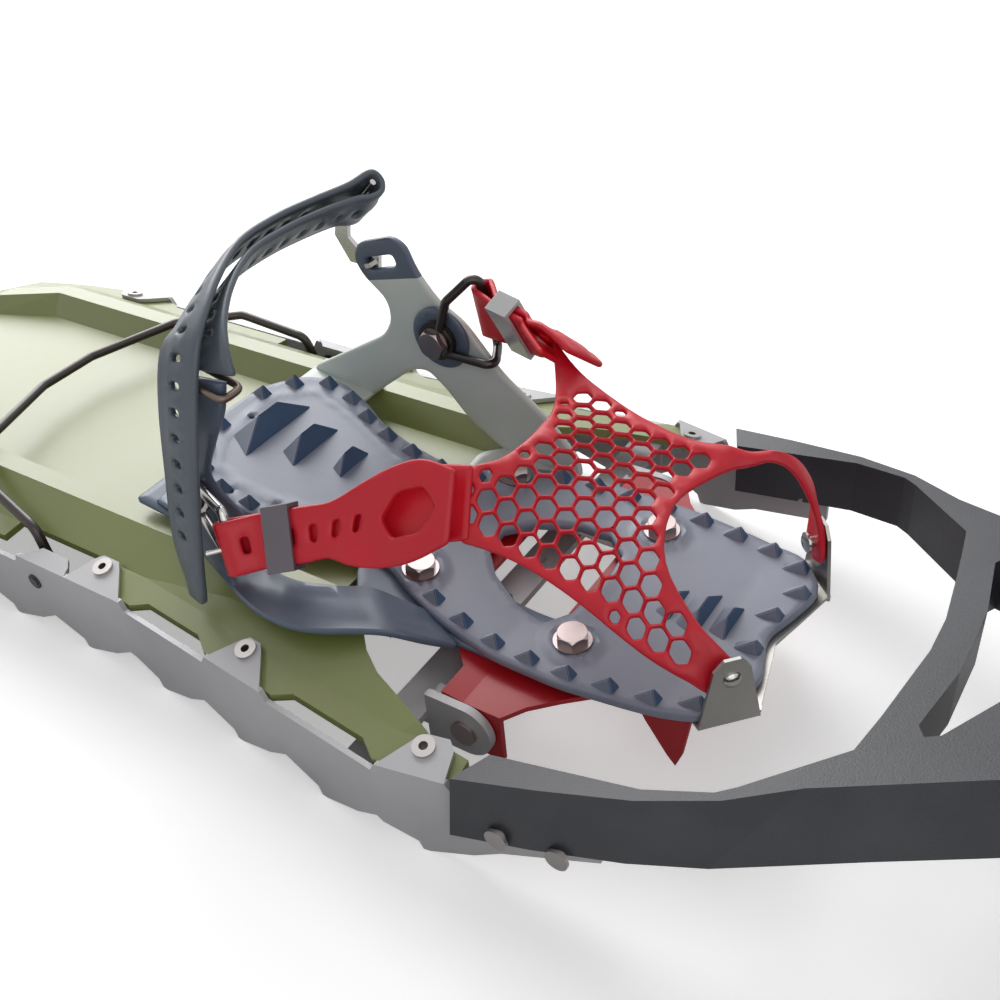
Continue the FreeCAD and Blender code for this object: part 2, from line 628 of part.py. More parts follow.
# ---------------------------------------------------------------- crampon
CRAMPON_HALF = [(133, 0), (133, 30), (128, 39.5), (112, 40.5), (100, 45), (92, 52), (84, 60), (79, EAR_FACE),
                (PIVOT_X - EAR_R - 0.5, EAR_FACE), (PIVOT_X - EAR_R - 0.5, 55), (44, 42), (6, 38), (0, 34), (0, 0)]
CRAMPON_DEPTH = BED_T + WING_T


def make_crampon():
    plate = layer(both_sides(CRAMPON_HALF), CRAMPON_DEPTH, CRAMPON_T)
    mouth = [(40, -20), (40, 20), (52, 30), (74, 30), (74, -30), (52, -30)]
    plate = plate.cut(prism_z(mouth, 0, 60))
    parts = []
    top = sole(FLAT_START) - CRAMPON_DEPTH
    ear_line = [(PIVOT_X - EAR_R - 0.5, top - 0.6), (PIVOT_X - EAR_R, PIVOT_Z - 4), (PIVOT_X - 6, PIVOT_Z - EAR_R),
                (PIVOT_X + 6, PIVOT_Z - EAR_R - 1), (79, PIVOT_Z - EAR_R - 1), (79, top)]
    ear = prism_y(ear_line, EAR_FACE - CRAMPON_T, EAR_FACE)
    ear = ear.common(prism_y([(0, -50), (200, -50), (200, top), (0, top)], 0, 100))
    ear = ear.cut(cylinder(PIN_R + PIN_GAP, 12, (PIVOT_X, EAR_FACE - 8, PIVOT_Z), (0, 1, 0)))
    front = prism_y([(112, top), (116, top - 8), (124, 12), (127, 8.5), (129, 14), (132, top)], 38.0, 40.0)
    inner = sole(8) - CRAMPON_DEPTH - CRAMPON_T + 0.6
    rear = prism_y([(0, inner), (4, 10), (7, 6.5), (9.5, 10), (16.5, inner - 1)], 33.5, 35.5)
    for piece in (ear, front, rear):
        parts += [piece, mirrored(piece)]
    crampon = plate.fuse(parts)
    for x, y in bolt_places():
        crampon = crampon.cut(bolt_column(x, y, BOLT_R + 0.1, 8, 20))
    return crampon.removeSplitter()


# ---------------------------------------------------------------- toe plate
EAR_OUT = (136.5, 44.5)
EAR_IN = (150.5, 29.5)
EAR_TOP = 27.0
TOE_T = 1.2


def make_toe_plate():
    """Sheet under the bed's nose with an ear bent up along each cut corner."""
    half = [(143, 0), (146, 12), (149.5, 27), EAR_IN, EAR_OUT, (133, 42), (128, 22), (128, 0)]
    sheet_z = BED_T
    plate = layer(both_sides(half), sheet_z, TOE_T)
    low = sole(EAR_OUT[0]) - BED_T - TOE_T
    a, b = V(EAR_OUT[0], EAR_OUT[1], low), V(EAR_IN[0], EAR_IN[1], low)
    along = (b - a).normalize()
    out = V(-along.y, along.x, 0) * -1
    width = (V(*EAR_IN, 0) - V(*EAR_OUT, 0)).Length
    shape = [(0, 0), (width, 0), (width * 0.78, EAR_TOP - 4), (width * 0.62, EAR_TOP), (width * 0.36, EAR_TOP),
             (width * 0.2, EAR_TOP - 4)]
    near = [tuple(a + along * u + V(0, 0, w)) for u, w in shape]
    face = polygon(near)
    ear = face.extrude(out * TOE_T)
    if ear.Volume < 0:
        ear.reverse()
    hole_at = a + along * (width * 0.5) + V(0, 0, STUD_RISE)
    hole = placed(Part.makeCylinder(STUD_R, 8, V(0, 0, -4)), tuple(hole_at), tuple(out))
    ear = ear.cut(hole)
    return plate.fuse([ear, mirrored(ear)]).removeSplitter()


STUD_R = 2.2
STUD_RISE = 19.0


def stud_frame():
    """Middle of the left ear's stud hole on the ear's inner face, and the outward normal."""
    low = sole(EAR_OUT[0]) - BED_T - TOE_T
    a, b = V(EAR_OUT[0], EAR_OUT[1], low), V(EAR_IN[0], EAR_IN[1], low)
    along = (b - a).normalize()
    out = V(-along.y, along.x, 0) * -1
    return a + (b - a) * 0.5 + V(0, 0, STUD_RISE), out, along


# ---------------------------------------------------------------- harness wings
LEFT_WING = [(-57, 112), (-54, 119), (-37, 124.5), (-31, 122), (-27, 112), (-18, 101), (-7, 95), (9, 76), (29, 61),
             (42, 46), (43, 37), (9, 39.2), (-8, 50.5), (-19, 63), (-27, 69), (-35, 67), (-50, 55), (-58, 47.8),
             (-90, 51.5), (-88, 55), (-65, 69), (-47, 80), (-42, 88), (-43, 97), (-53, 105)]
TIP_SLOT = [(-51.5, 113.2), (-37, 117.5), (-35.5, 112.5), (-50, 108.2)]
FRONT_PAD = [(97, 22), (97, 42), (76, 47.5), (43, WING_Y + WING_T), (9, WING_Y + WING_T), (1, 40), (2, 22)]


def heel_band():
    plan = [(BAND_REAR, -BAND_HALF), (BAND_REAR, BAND_HALF), (BAND_FRONT, BAND_HALF), (BAND_FRONT, -BAND_HALF)]
    return layer(plan, BED_T, WING_T)


def boss_stack(bolt, out):
    """Raised ring where a strap loop is bolted to a wing, on the wing's inner face."""
    return cylinder(13.0, BOSS_T, bolt, out)


BOSS_T = 2.0
EYE_T = 2.3
EYE_R = 8.0
WING_BOLT_R = 3.0
LEFT_BOLT = (WING_BOLT_X, WING_Y, WING_BOLT_Z)
RIGHT_BOLT = (-53.0, -57.2, 70.0)
RIGHT_OUT = (0.15, -0.99, 0.04)
LOOSE_GAP = 1.1             # eye to the curved face of the fallen wing
WING_WASHER_R = 6.1
SPOT_R = 9.5                # flats in the fallen wing under the eye and the nut


def make_left_wing():
    plate = prism_y(LEFT_WING, WING_Y, WING_Y + WING_T)
    half_band = heel_band().common(prism_z([(-100, 0), (0, 0), (0, 100), (-100, 100)], 0, 100))
    wing = plate.fuse([half_band, layer(FRONT_PAD, BED_T, WING_T), boss_stack(LEFT_BOLT, (0, -1, 0))])
    wing = wing.cut(cylinder(WING_BOLT_R + 0.1, 20, (LEFT_BOLT[0], WING_Y - 10, LEFT_BOLT[2]), (0, 1, 0)))
    wing = wing.cut(prism_y(TIP_SLOT, WING_Y - 1, WING_Y + WING_T + 1))
    for x, y in (FRONT_BOLT, REAR_BOLT):
        wing = wing.cut(bolt_column(x, y, BOLT_R + 0.1, 8, 15))
    return wing.removeSplitter()


RIGHT_LEG = [((44, -47.5, 36), (7, -4.5, 0)), ((36.5, -53, 42), (8.5, -5.5, -0.4)),
             ((27, -59.5, 48.3), (9.3, -6.8, -0.5)), ((17, -64.5, 48.9), (9.3, -7, -0.4)),
             ((5, -69.5, 48.8), (9.6, -8, -0.4)), ((-7, -71, 48.8), (8.5, -9.5, -0.4)),
             ((-20, -67.5, 48.9), (5, -11, -0.4)), ((-33, -61.5, 51.8), (0, -10.5, -2.6)),
             ((-45, -58.3, 56.5), (-5, -7, -6)), ((-53, -57.2, 65), (-8.5, -3, -7)),
             ((-54.5, -57, 77), (-11, -0.5, -4.5)), ((-47, -57, 94), (-11.5, 0, -3)),
             ((-38.5, -56.5, 108), (-10, 0, -2)), ((-34, -56, 121), (-9, 0, -1))]
RIGHT_REAR_LEG = [((-52, -58, 60), (5, 0, 6)), ((-62, -57, 56), (4, -1, 5)), ((-72, -54, 52.8), (3, -3, 3)),
                  ((-82, -49, 53.2), (1, -6, 0))]


def make_right_wing():
    """The outer wing has fallen open: its front leg lies flat before it turns up."""
    leg = ribbon([c for c, _ in RIGHT_LEG], [h for _, h in RIGHT_LEG], WING_T)
    rear = ribbon([c for c, _ in RIGHT_REAR_LEG], [h for _, h in RIGHT_REAR_LEG], WING_T * 0.9)
    half_band = heel_band().common(prism_z([(-100, 0), (0, 0), (0, -100), (-100, -100)], 0, 100))
    pad = layer([(x, -y) for x, y in FRONT_PAD], BED_T, WING_T)
    wing = leg.fuse([rear, half_band, pad])
    bolt, out = V(*RIGHT_BOLT), V(*RIGHT_OUT).normalize()
    wing = wing.cut(cylinder(WING_BOLT_R + 0.1, 24, tuple(bolt - out * 12), RIGHT_OUT))
    for way, gap in ((out, LOOSE_GAP - CLEAR), (out * -1, 0)):
        wing = wing.cut(cylinder(SPOT_R, 6, tuple(bolt + way * (WING_T / 2 + gap)), tuple(way)))
    for x, y in (FRONT_BOLT, REAR_BOLT):
        wing = wing.cut(bolt_column(x, -y, BOLT_R + 0.1, 8, 15))
    return wing.removeSplitter()


WASHER_R = 6.6
WASHER_T = 1.0
HEX_FLATS = 10.0
BED_RING_R = 10.0
STACK = BED_T + WING_T + CRAMPON_T


def bolt_seat(x, y, above):
    """Point on a binding bolt's axis at a height above the sole, and the axis."""
    axis = V(HEEL_RISE if x < FLAT_START else 0, 0, 1).normalize()
    return tuple(V(x, y, sole(x)) + axis * above), tuple(axis)


def make_binding_bolts():
    bolts = []
    for x, y in bolt_places():
        seat, axis = bolt_seat(x, y, CLEAR)
        crown, _ = bolt_seat(x, y, CLEAR + WASHER_T)
        head = hexagon_head(HEX_FLATS, 3.6, crown, axis)
        shank = bolt_column(x, y, BOLT_R, CLEAR, STACK + 5.5)
        bolts.append(head.fuse([cylinder(WASHER_R, WASHER_T, seat, axis), shank]).removeSplitter())
    return Part.Compound(bolts)


def make_binding_nuts():
    nuts = []
    for x, y in bolt_places():
        seat, axis = bolt_seat(x, y, -STACK - CLEAR)
        nut = hexagon_head(HEX_FLATS, 4.0, seat, tuple(V(*axis) * -1))
        nuts.append(nut.cut(bolt_column(x, y, BOLT_R, 8, 30)).removeSplitter())
    return Part.Compound(nuts)


def wing_bolt(face, out, stack):
    """Hex bolt: its head lies a stack height above the wing's face, with a cap nut on the other face."""
    out = V(*out).normalize()
    head_seat = V(*face) - out * stack
    nut_seat = V(*face) + out * (WING_T + CLEAR)
    back = tuple(out * -1)
    head = hexagon_head(HEX_FLATS + 0.5, 4.0, tuple(head_seat), back)
    washer = cylinder(WING_WASHER_R, 0.8, tuple(head_seat), back)
    shank = cylinder(WING_BOLT_R, (nut_seat - head_seat).Length + 1, tuple(head_seat), tuple(out))
    nut = hexagon_head(HEX_FLATS, 4.0, tuple(nut_seat), tuple(out))
    return head.fuse([washer, shank, nut]).removeSplitter()




# ---------------------------------------------------------------- strap loops
LEFT_BAR = ((1.8, 51.1, 113.0), (1.6, 56.6, 87.4))
LEFT_LOOP = [(-14.6, 43.2, 93), (-11, 44.0, 105), (0.5, 50.2, 117.0), (2.0, 57.6, 83), (8.8, 44.6, 81.5),
             (-12.5, 43.2, 82.6)]


def left_bow(radius):
    return wire_rod(LEFT_LOOP, radius, LOOP_BEND)


def make_left_loop():
    """Bow from an eye on the inner face of the wing, round its front edge, to the strap's bar."""
    eye_face = WING_Y - BOSS_T - CLEAR
    eye = cylinder(EYE_R, EYE_T, (LEFT_BOLT[0], eye_face - EYE_T, LEFT_BOLT[2]), (0, 1, 0))
    return left_bow(LOOP_R).fuse(eye).cut(cylinder(WING_BOLT_R + 0.3, 12, (LEFT_BOLT[0], eye_face - 6, LEFT_BOLT[2]), (0, 1, 0)))


RIGHT_BAR = ((-31.1, -66.0, 74.5), (-20.1, -73.0, 52.3))
LOOP_BEND = 3.2


def right_bow(radius):
    """Wire from the eye on the fallen wing's outer face, along the strap's bar and back."""
    middle = V(*RIGHT_BOLT) + V(*RIGHT_OUT).normalize() * (WING_T / 2 + LOOSE_GAP + EYE_T / 2)
    path = [tuple(middle + V(4.5, -0.3, 6.7)), *RIGHT_BAR, tuple(middle + V(5.5, -1.2, -6))]
    return wire_rod(path, radius, LOOP_BEND)


def make_right_loop():
    out = V(*RIGHT_OUT).normalize()
    face = V(*RIGHT_BOLT) + out * (WING_T / 2 + LOOSE_GAP)
    hole = cylinder(WING_BOLT_R + 0.3, 14, tuple(face - out * 7), tuple(out))
    return right_bow(LOOP_R).fuse(cylinder(EYE_R, EYE_T, tuple(face), tuple(out))).cut(hole)


# ---------------------------------------------------------------- forefoot mesh
FAR_EDGE = [(36, 44, 99), (49, 37, 96), (61, 33, 92.5), (79, 28.5, 89), (99, 26.5, 87), (112, 28.5, 87.5),
            (124, 32.5, 87), (134, 37.5, 80), (140, 40, 70)]
REAR_EDGE = [(43, -26, 90), (52, -18, 92.5), (55, -8, 93.5), (54.5, 4, 93), (53, 14, 93), (46, 28, 93), (36, 44, 99)]
NEAR_EDGE = [(52, -42, 75), (60, -41, 74.5), (72, -40, 72.5), (84, -40, 69), (96, -41, 65), (108, -42.5, 60.5),
             (118, -43.5, 57), (126, -43.5, 54.5), (132, -42.5, 52)]
FRONT_EDGE = [(140, -35, 60), (128, -31, 67), (114, -22.5, 77), (107.5, -6, 82.5), (109, 10, 82.5), (120, 27, 83),
              (136, 37.5, 68)]


def edge_point(points, t):
    """Point at fraction t along a polyline."""
    spans = [(V(*b) - V(*a)).Length for a, b in zip(points, points[1:])]
    reach = t * sum(spans)
    for (a, b), span in zip(zip(points, points[1:]), spans):
        if reach <= span:
            return V(*a) + (V(*b) - V(*a)) * (reach / span)
        reach -= span
    return V(*points[-1])


def mesh_grid(rows, cols):
    """Patch between the four edges: rows run from the rear edge to the front edge."""
    grid = []
    for i in range(rows + 1):
        u = i / rows
        line = []
        for j in range(cols + 1):
            v = j / cols
            near, far = edge_point(NEAR_EDGE, u), edge_point(FAR_EDGE, u)
            rear, front = edge_point(REAR_EDGE, v), edge_point(FRONT_EDGE, v)
            corners = (edge_point(NEAR_EDGE, 0) * ((1 - u) * (1 - v)) + edge_point(FAR_EDGE, 0) * ((1 - u) * v)
                       + edge_point(NEAR_EDGE, 1) * (u * (1 - v)) + edge_point(FAR_EDGE, 1) * (u * v))
            line.append(near * (1 - v) + far * v + rear * (1 - u) + front * u - corners)
        grid.append([tuple(p) for p in line])
    return grid


# each forefoot strap runs to a bar, turns round it and lies back over itself, ending in a ring tab
NEAR_LEAD = [((50, -33, 84.5), (4, -8.5, -8)), ((36, -37, 81.5), (4, -8.5, -9)), ((20, -43, 76), (3, -8.2, -9.5))]
NEAR_START = ((6, -52, 70.5), (2.0, -5.4, -7.6))
NEAR_TAB = [((16, -51, 76), (2, -9, -10.5)), ((26, -48, 80), (2.6, -10, -13)),
            ((37, -44.5, 84.5), (3, -10, -13)), ((48, -40, 87), (2.5, -7, -9))]
FAR_LEAD = [((42, 37, 96.5), (3, 7, -7))]
FAR_START = ((29, 45, 97.5), (2.0, 6.8, -8.8))
FAR_TAB = [((38, 44.6, 100.6), (3.5, 7.6, -7.5)), ((49, 40.5, 100.0), (4.5, 7.5, -4.5))]
STRAP_GAP = 0.7             # between the two layers of a folded strap
FOLD_BLEND = 9.0            # length over which the layers close up behind the bar


class Fold:
    """Frame of a folded strap: its bar, its direction towards the bar and its outward normal."""

    def __init__(self, start, bar, outward, place):
        high, low = V(*bar[0]), V(*bar[1])
        self.middle = (low + high) * 0.5
        self.begin, self.begin_half = V(*start[0]), V(*start[1])
        self.half = (low - high).normalize() * self.begin_half.Length
        normal = (self.middle - self.begin).cross(self.half).normalize()
        self.out = normal if normal.dot(V(*outward)) > 0 else normal * -1
        self.wrap = LOOP_R + 2 * CLEAR + STRAP_T / 2
        self.turn = self.middle - self.out * self.wrap
        self.along = (self.turn - self.begin).normalize()
        self.spot = self.begin + (self.turn - self.begin) * place

    def stations(self):
        """Centres and halves from the start of the straight run, round the bar and back."""
        close = self.turn - self.along * FOLD_BLEND
        grip = self.at(self.spot)
        lower = [(self.begin, self.begin_half), (self.spot - self.along * (KEEPER_L / 2 + KEEPER_TRAVEL), grip),
                 (self.spot + self.along * KEEPER_L / 2, grip), (close, self.at(close))]
        rows = lower + [(self.turn, self.half)]
        for degrees in (-60, -30, 0, 30, 60, 90):
            a = math.radians(degrees)
            spot = self.along * (self.wrap * math.cos(a)) + self.out * (self.wrap * math.sin(a))
            rows.append((self.middle + spot, self.half))
        for centre, half in reversed(lower):
            away = half.cross(self.along).normalize()
            away = away if away.dot(self.out) > 0 else away * -1
            rows.append((centre + away * (STRAP_T + STRAP_GAP), half))
        return [(tuple(c), tuple(h)) for c, h in rows]

    def at(self, point):
        """Half width vector at a point of the straight run."""
        share = (point - self.begin).Length / (self.turn - self.begin).Length
        mixed = self.begin_half * (1 - share) + self.half * share
        return mixed.normalize() * self.half.Length

    def keeper(self):
        """Band round both layers of the straight run."""
        half = self.at(self.spot)
        across = V(half).normalize()
        away = across.cross(self.along).normalize()
        away = away if away.dot(self.out) > 0 else away * -1
        base = self.spot + away * ((STRAP_T + STRAP_GAP) / 2)

        def block(wide, deep, length):
            corners = [base + across * (sx * wide) + away * (sy * deep) - self.along * (length / 2)
                       for sx, sy in ((1, 1), (-1, 1), (-1, -1), (1, -1))]
            return polyloft([[tuple(c) for c in corners], [tuple(c + self.along * length) for c in corners]])
        wide, deep = half.Length + KEEPER_GAP, STRAP_T + STRAP_GAP / 2 + KEEPER_GAP
        return block(wide + KEEPER_T, deep + KEEPER_T, KEEPER_L).cut(block(wide, deep, KEEPER_L + 2))


KEEPER_GAP = 0.3
KEEPER_T = 1.5
KEEPER_L = 10.0
KEEPER_TRAVEL = 4.0         # how far a keeper slides along its strap


def right_fold():
    return Fold(NEAR_START, RIGHT_BAR, (0, -1, 0.5), 0.5)


def left_fold():
    return Fold(FAR_START, LEFT_BAR, (0, 1, 0), 0.45)


def strap(lead, fold, tab):
    rows = lead + fold.stations() + tab
    return ribbon([c for c, _ in rows], [h for _, h in rows], STRAP_T)


PRONG_R = 1.1
PRONG_SLOT = 3.2            # half height of the slot in the strap that clears the prong


def make_prong():
    """Tongue on the outer loop's bar that holds the strap by one of its holes."""
    fold = right_fold()
    axis = V(*RIGHT_BAR[0]) - V(*RIGHT_BAR[1])
    axis.normalize()
    base = fold.middle - axis * (PRONG_SLOT - 1)
    sleeve = cylinder(LOOP_R + 1.1, 2 * (PRONG_SLOT - 1), tuple(base), tuple(axis))
    sleeve = sleeve.cut(cylinder(LOOP_R + PIN_GAP, 20, tuple(fold.middle - axis * 10), tuple(axis)))
    way = (fold.along + fold.out * 0.6).normalize()
    tongue = cylinder(PRONG_R, 7, tuple(fold.middle + way * (LOOP_R + 0.5)), tuple(way))
    return sleeve.fuse(tongue)


def prong_slot():
    fold = right_fold()
    axis = (V(*RIGHT_BAR[0]) - V(*RIGHT_BAR[1])).normalize()
    return cylinder(13, 2 * PRONG_SLOT, tuple(fold.middle - axis * PRONG_SLOT), tuple(axis))


def make_mesh():
    near = strap(NEAR_LEAD, right_fold(), NEAR_TAB).cut(prong_slot()).cut(right_bow(LOOP_R + CLEAR))
    far = strap(FAR_LEAD, left_fold(), FAR_TAB).cut(left_bow(LOOP_R + CLEAR))
    body = sheet(mesh_grid(10, 10), STRAP_T).fuse([near, far])
    for side in (1, -1):
        body = body.cut(stud_bore(side, STUD_R + 0.2))
    return body


def stud_bore(side, radius):
    point, out, _ = stud_frame()
    bore = cylinder(radius, 24, tuple(point - out * 12), tuple(out))
    return bore if side > 0 else mirrored(bore)


def make_stud():
    """Rivet through the left ear of the toe plate and the corner of the mesh."""
    point, out, _ = stud_frame()
    shank = cylinder(STUD_R, STUD_GRIP, tuple(point - out * (STUD_GRIP - TOE_T)), tuple(out))
    head = cylinder(STUD_R + 2.2, 1.4, tuple(point + out * TOE_T), tuple(out))
    washer = cylinder(STUD_R + 3.0, 1.0, tuple(point - out * (STUD_GRIP - TOE_T + 1.0)), tuple(out))
    return shank.fuse([head, washer]).removeSplitter()


STUD_GRIP = 5.5


# ---------------------------------------------------------------- heel strap
HEEL_INNER = [((-30, -55, 123.5), (9, 0, 1)), ((-32, -52.5, 130), (9, 0, 3)), ((-39, -44, 135), (8.3, 0, 5)),
              ((-49, -29, 138.5), (7.4, 0, 6.4)), ((-57, -10, 140), (6.7, 0, 7.3)), ((-58.5, 10, 140), (6.7, 0, 7.3)),
              ((-56, 28, 138.5), (6.9, 0, 7.2)), ((-52.3, 42, 135.6), (7, 0, 7)), ((-49.8, 48, 133.3), (7, 0, 7)),
              ((-48.8, 53, 133.7), (7, 0, 7)), ((-50.3, 55.6, 137), (7, 0, 7)), ((-52.8, 53, 140.4), (7, 0, 7)),
              ((-55, 43, 140.9), (7, 0, 7)), ((-59, 28, 142.3), (6.9, 0, 7.2)), ((-61.5, 10, 143.8), (6.7, 0, 7.3)),
              ((-60, -11, 143.8), (6.7, 0, 7.3)), ((-52, -31, 142), (7.4, 0, 6.4)), ((-44.5, -47, 138), (8.3, 0, 5)),
              ((-42, -57, 129), (9, 0, 2)), ((-41.5, -64, 112), (9.4, -1, 0)), ((-41, -70.5, 88), (9.4, -2, 0)),
              ((-41, -76, 62), (8.4, -2, 0)), ((-37.5, -80, 43), (4, -1, 0))]


def make_heel_strap():
    return ribbon([c for c, _ in HEEL_INNER], [h for _, h in HEEL_INNER], HEEL_STRAP_T)


HOOK_BAR = (-51.2, 51.0, 137.0)
HOOK_BAR_R = 1.2
HOOK_BAR_L = 24.0
HOOK_T = 2.0
HOOK_J = [(-64.5, 128), (-62, 130), (-59, 127), (-60.5, 119), (-57, 115.5), (-46, 114), (-47, 108), (-61, 108.5), (-67, 119)]


def make_hook():
    """J hook at the strap's fold; its peg sits in the slot at the tip of the left wing."""
    face = WING_Y + WING_T + CLEAR
    plate = prism_y(HOOK_J, face, face + HOOK_T)
    start = V(*HOOK_BAR) - V(1, 0, 1).normalize() * (HOOK_BAR_L / 2 + 2)
    bar = cylinder(HOOK_BAR_R, HOOK_BAR_L, tuple(start), (1, 0, 1))
    peg = prism_y([(-49.4, 110.1), (-46.6, 111), (-47, 112.8), (-49.8, 111.8)], WING_Y - 2, face + HOOK_T)
    return plate.fuse([bar, peg]).removeSplitter()


BUCKLE_MID = (-36.5, -59.2, 119.5)
BUCKLE_HALF = (18.5, 10.4)
BUCKLE_H = 5.0
BUCKLE_T = 1.6


def make_buckle():
    """Steel frame round the tip of the right wing and the strap's tail."""
    tilt = (0.0, -0.25, 1.0)
    outer = Part.makeBox(2 * BUCKLE_HALF[0], 2 * BUCKLE_HALF[1], BUCKLE_H, V(-BUCKLE_HALF[0], -BUCKLE_HALF[1], 0))
    inner = Part.makeBox(2 * (BUCKLE_HALF[0] - BUCKLE_T), 2 * (BUCKLE_HALF[1] - BUCKLE_T), BUCKLE_H + 2,
                         V(BUCKLE_T - BUCKLE_HALF[0], BUCKLE_T - BUCKLE_HALF[1], -1))
    return placed(outer.cut(inner), BUCKLE_MID, tilt)


write("deck", make_deck())
write("rail_left", make_rail())
write("rail_right", mirrored(make_rail()))
write("deck_rivets", make_deck_rivets())
write("nose_frame", make_nose())
write("nose_rivets", make_nose_rivets())
write("cross_member", make_cross_member())
for side, build in (("hinge_bracket", make_bracket), ("hinge_pin", make_pin)):
    write(side + "_left", build())
    write(side + "_right", mirrored(build()))
write("heel_lift_bail", make_bail())
write("bail_bushes", make_bushes())
write("foot_bed", make_bed())
write("crampon", make_crampon())
write("toe_plate", make_toe_plate())
write("wing_left", make_left_wing())
write("wing_right", make_right_wing())
write("binding_bolts", make_binding_bolts())
write("binding_nuts", make_binding_nuts())
write("wing_bolt_left", wing_bolt(LEFT_BOLT, (0, 1, 0), BOSS_T + EYE_T + 2 * CLEAR))
write("wing_bolt_right", wing_bolt(tuple(V(*RIGHT_BOLT) + V(*RIGHT_OUT).normalize() * (WING_T / 2)),
                                   tuple(V(*RIGHT_OUT) * -1), LOOSE_GAP + EYE_T + CLEAR))
write("strap_loop_left", make_left_loop())
write("strap_loop_right", make_right_loop())
write("forefoot_mesh", make_mesh())
write("keeper_left", left_fold().keeper())
write("keeper_right", right_fold().keeper())
write("strap_prong", make_prong())
write("ear_stud_left", make_stud())
write("ear_stud_right", mirrored(make_stud()))
write("heel_strap", make_heel_strap())
write("heel_hook", make_hook())
write("heel_buckle", make_buckle())
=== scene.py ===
import math

import bmesh
import bpy
import numpy as np
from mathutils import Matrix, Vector
from mathutils.geometry import delaunay_2d_cdt


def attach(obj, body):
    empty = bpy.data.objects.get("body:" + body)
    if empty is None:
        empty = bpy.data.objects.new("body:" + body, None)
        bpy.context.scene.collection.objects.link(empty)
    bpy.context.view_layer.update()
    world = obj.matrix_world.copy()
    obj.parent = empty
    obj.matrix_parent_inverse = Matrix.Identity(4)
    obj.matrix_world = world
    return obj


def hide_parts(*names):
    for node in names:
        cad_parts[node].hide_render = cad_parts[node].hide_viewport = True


# Trail snowshoe, right foot.  +X to the toe, +Y to the inner side, +Z up, floor at the rail teeth.
# Lists of places are in millimetres from the rear edge of the binding bay, as the shoe's source has them.

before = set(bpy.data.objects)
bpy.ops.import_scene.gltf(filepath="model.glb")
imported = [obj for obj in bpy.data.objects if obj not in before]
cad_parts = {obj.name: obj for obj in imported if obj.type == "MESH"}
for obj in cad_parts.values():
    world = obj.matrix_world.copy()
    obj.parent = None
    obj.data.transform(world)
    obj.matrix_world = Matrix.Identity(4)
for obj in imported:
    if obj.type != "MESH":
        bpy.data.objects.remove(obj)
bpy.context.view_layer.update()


# ---- Camera, floor and lamps ----
# A plain white studio.  The camera stands over the outer side of the toe and looks down along the deck.
# A broad window lamp beyond the tail glares on the flat panels; a high key lamp and a low fill are weak.
def placed(name, data):
    """Object that shows some data, in the scene."""
    made = bpy.data.objects.new(name, data)
    bpy.context.scene.collection.objects.link(made)
    return made


def ray_mask(tree, *rays):
    """1 for the two named kinds of ray, 0 for the others."""
    path = tree.nodes.new("ShaderNodeLightPath")
    most = tree.nodes.new("ShaderNodeMath")
    most.operation = "MAXIMUM"
    for ray, socket in zip(rays, most.inputs):
        tree.links.new(path.outputs[ray], socket)
    return most.outputs[0]


camera_data = bpy.data.cameras.new("camera")
camera_data.sensor_width = 36.0
camera_data.lens = 43.0
camera_data.clip_start = 0.01
camera = placed("camera", camera_data)
camera.location = (0.2510, -0.2740, 0.3164)
camera.rotation_euler = [math.radians(a) for a in (52.568, 4.125, 32.741)]
bpy.context.scene.camera = camera
bpy.context.scene.view_settings.view_transform = "Standard"


def area_lamp(name, place, target, size, power):
    """Soft square lamp that looks at a point."""
    data = bpy.data.lights.new(name, "AREA")
    data.shape = "SQUARE"
    data.size = size
    data.energy = power
    lamp = placed(name, data)
    lamp.location = place
    lamp.rotation_euler = (Vector(target) - Vector(place)).to_track_quat("-Z", "Y").to_euler()


area_lamp("key", (-0.35, 0.75, 1.25), (0, 0, 0), 0.9, 4)
area_lamp("window", (-1.25, 0.95, 0.95), (-0.1, 0, 0.05), 1.3, 24)
area_lamp("fill", (0.9, -0.9, 0.9), (0, 0, 0.05), 1.2, 3.5)

world = bpy.data.worlds.new("studio")
bpy.context.scene.world = world
world.use_nodes = True
world_tree = world.node_tree
background = world_tree.nodes["Background"]
background.inputs["Color"].default_value = (1, 1, 1, 1)
strength = world_tree.nodes.new("ShaderNodeMapRange")
strength.inputs["To Min"].default_value = 0.26
strength.inputs["To Max"].default_value = 1.0
world_tree.links.new(ray_mask(world_tree, "Is Camera Ray", "Is Glossy Ray"), strength.inputs["Value"])
world_tree.links.new(strength.outputs["Result"], background.inputs["Strength"])

FLOOR_HALF = 6.0
PAPER_GLOW = 0.42           # lifts the paper to white for the camera and keeps the shadow
floor_mesh = bpy.data.meshes.new("floor")
floor_mesh.from_pydata([(-FLOOR_HALF, -FLOOR_HALF, 0), (FLOOR_HALF, -FLOOR_HALF, 0),
                        (FLOOR_HALF, FLOOR_HALF, 0), (-FLOOR_HALF, FLOOR_HALF, 0)], [], [(0, 1, 2, 3)])
floor = placed("floor", floor_mesh)
floor_material = bpy.data.materials.new("studio paper")
floor_material.use_nodes = True
paper = floor_material.node_tree.nodes["Principled BSDF"]
paper.inputs["Base Color"].default_value = (0.93, 0.93, 0.93, 1)
paper.inputs["Roughness"].default_value = 0.9
paper.inputs["Specular IOR Level"].default_value = 0.1
paper_tree = floor_material.node_tree
paper_glow = paper_tree.nodes.new("ShaderNodeMath")
paper_glow.operation = "MULTIPLY"
paper_glow.inputs[1].default_value = PAPER_GLOW
paper.inputs["Emission Color"].default_value = (1, 1, 1, 1)
paper_tree.links.new(ray_mask(paper_tree, "Is Camera Ray", "Is Transmission Ray"), paper_glow.inputs[0])
paper_tree.links.new(paper_glow.outputs[0], paper.inputs["Emission Strength"])
floor_mesh.materials.append(floor_material)


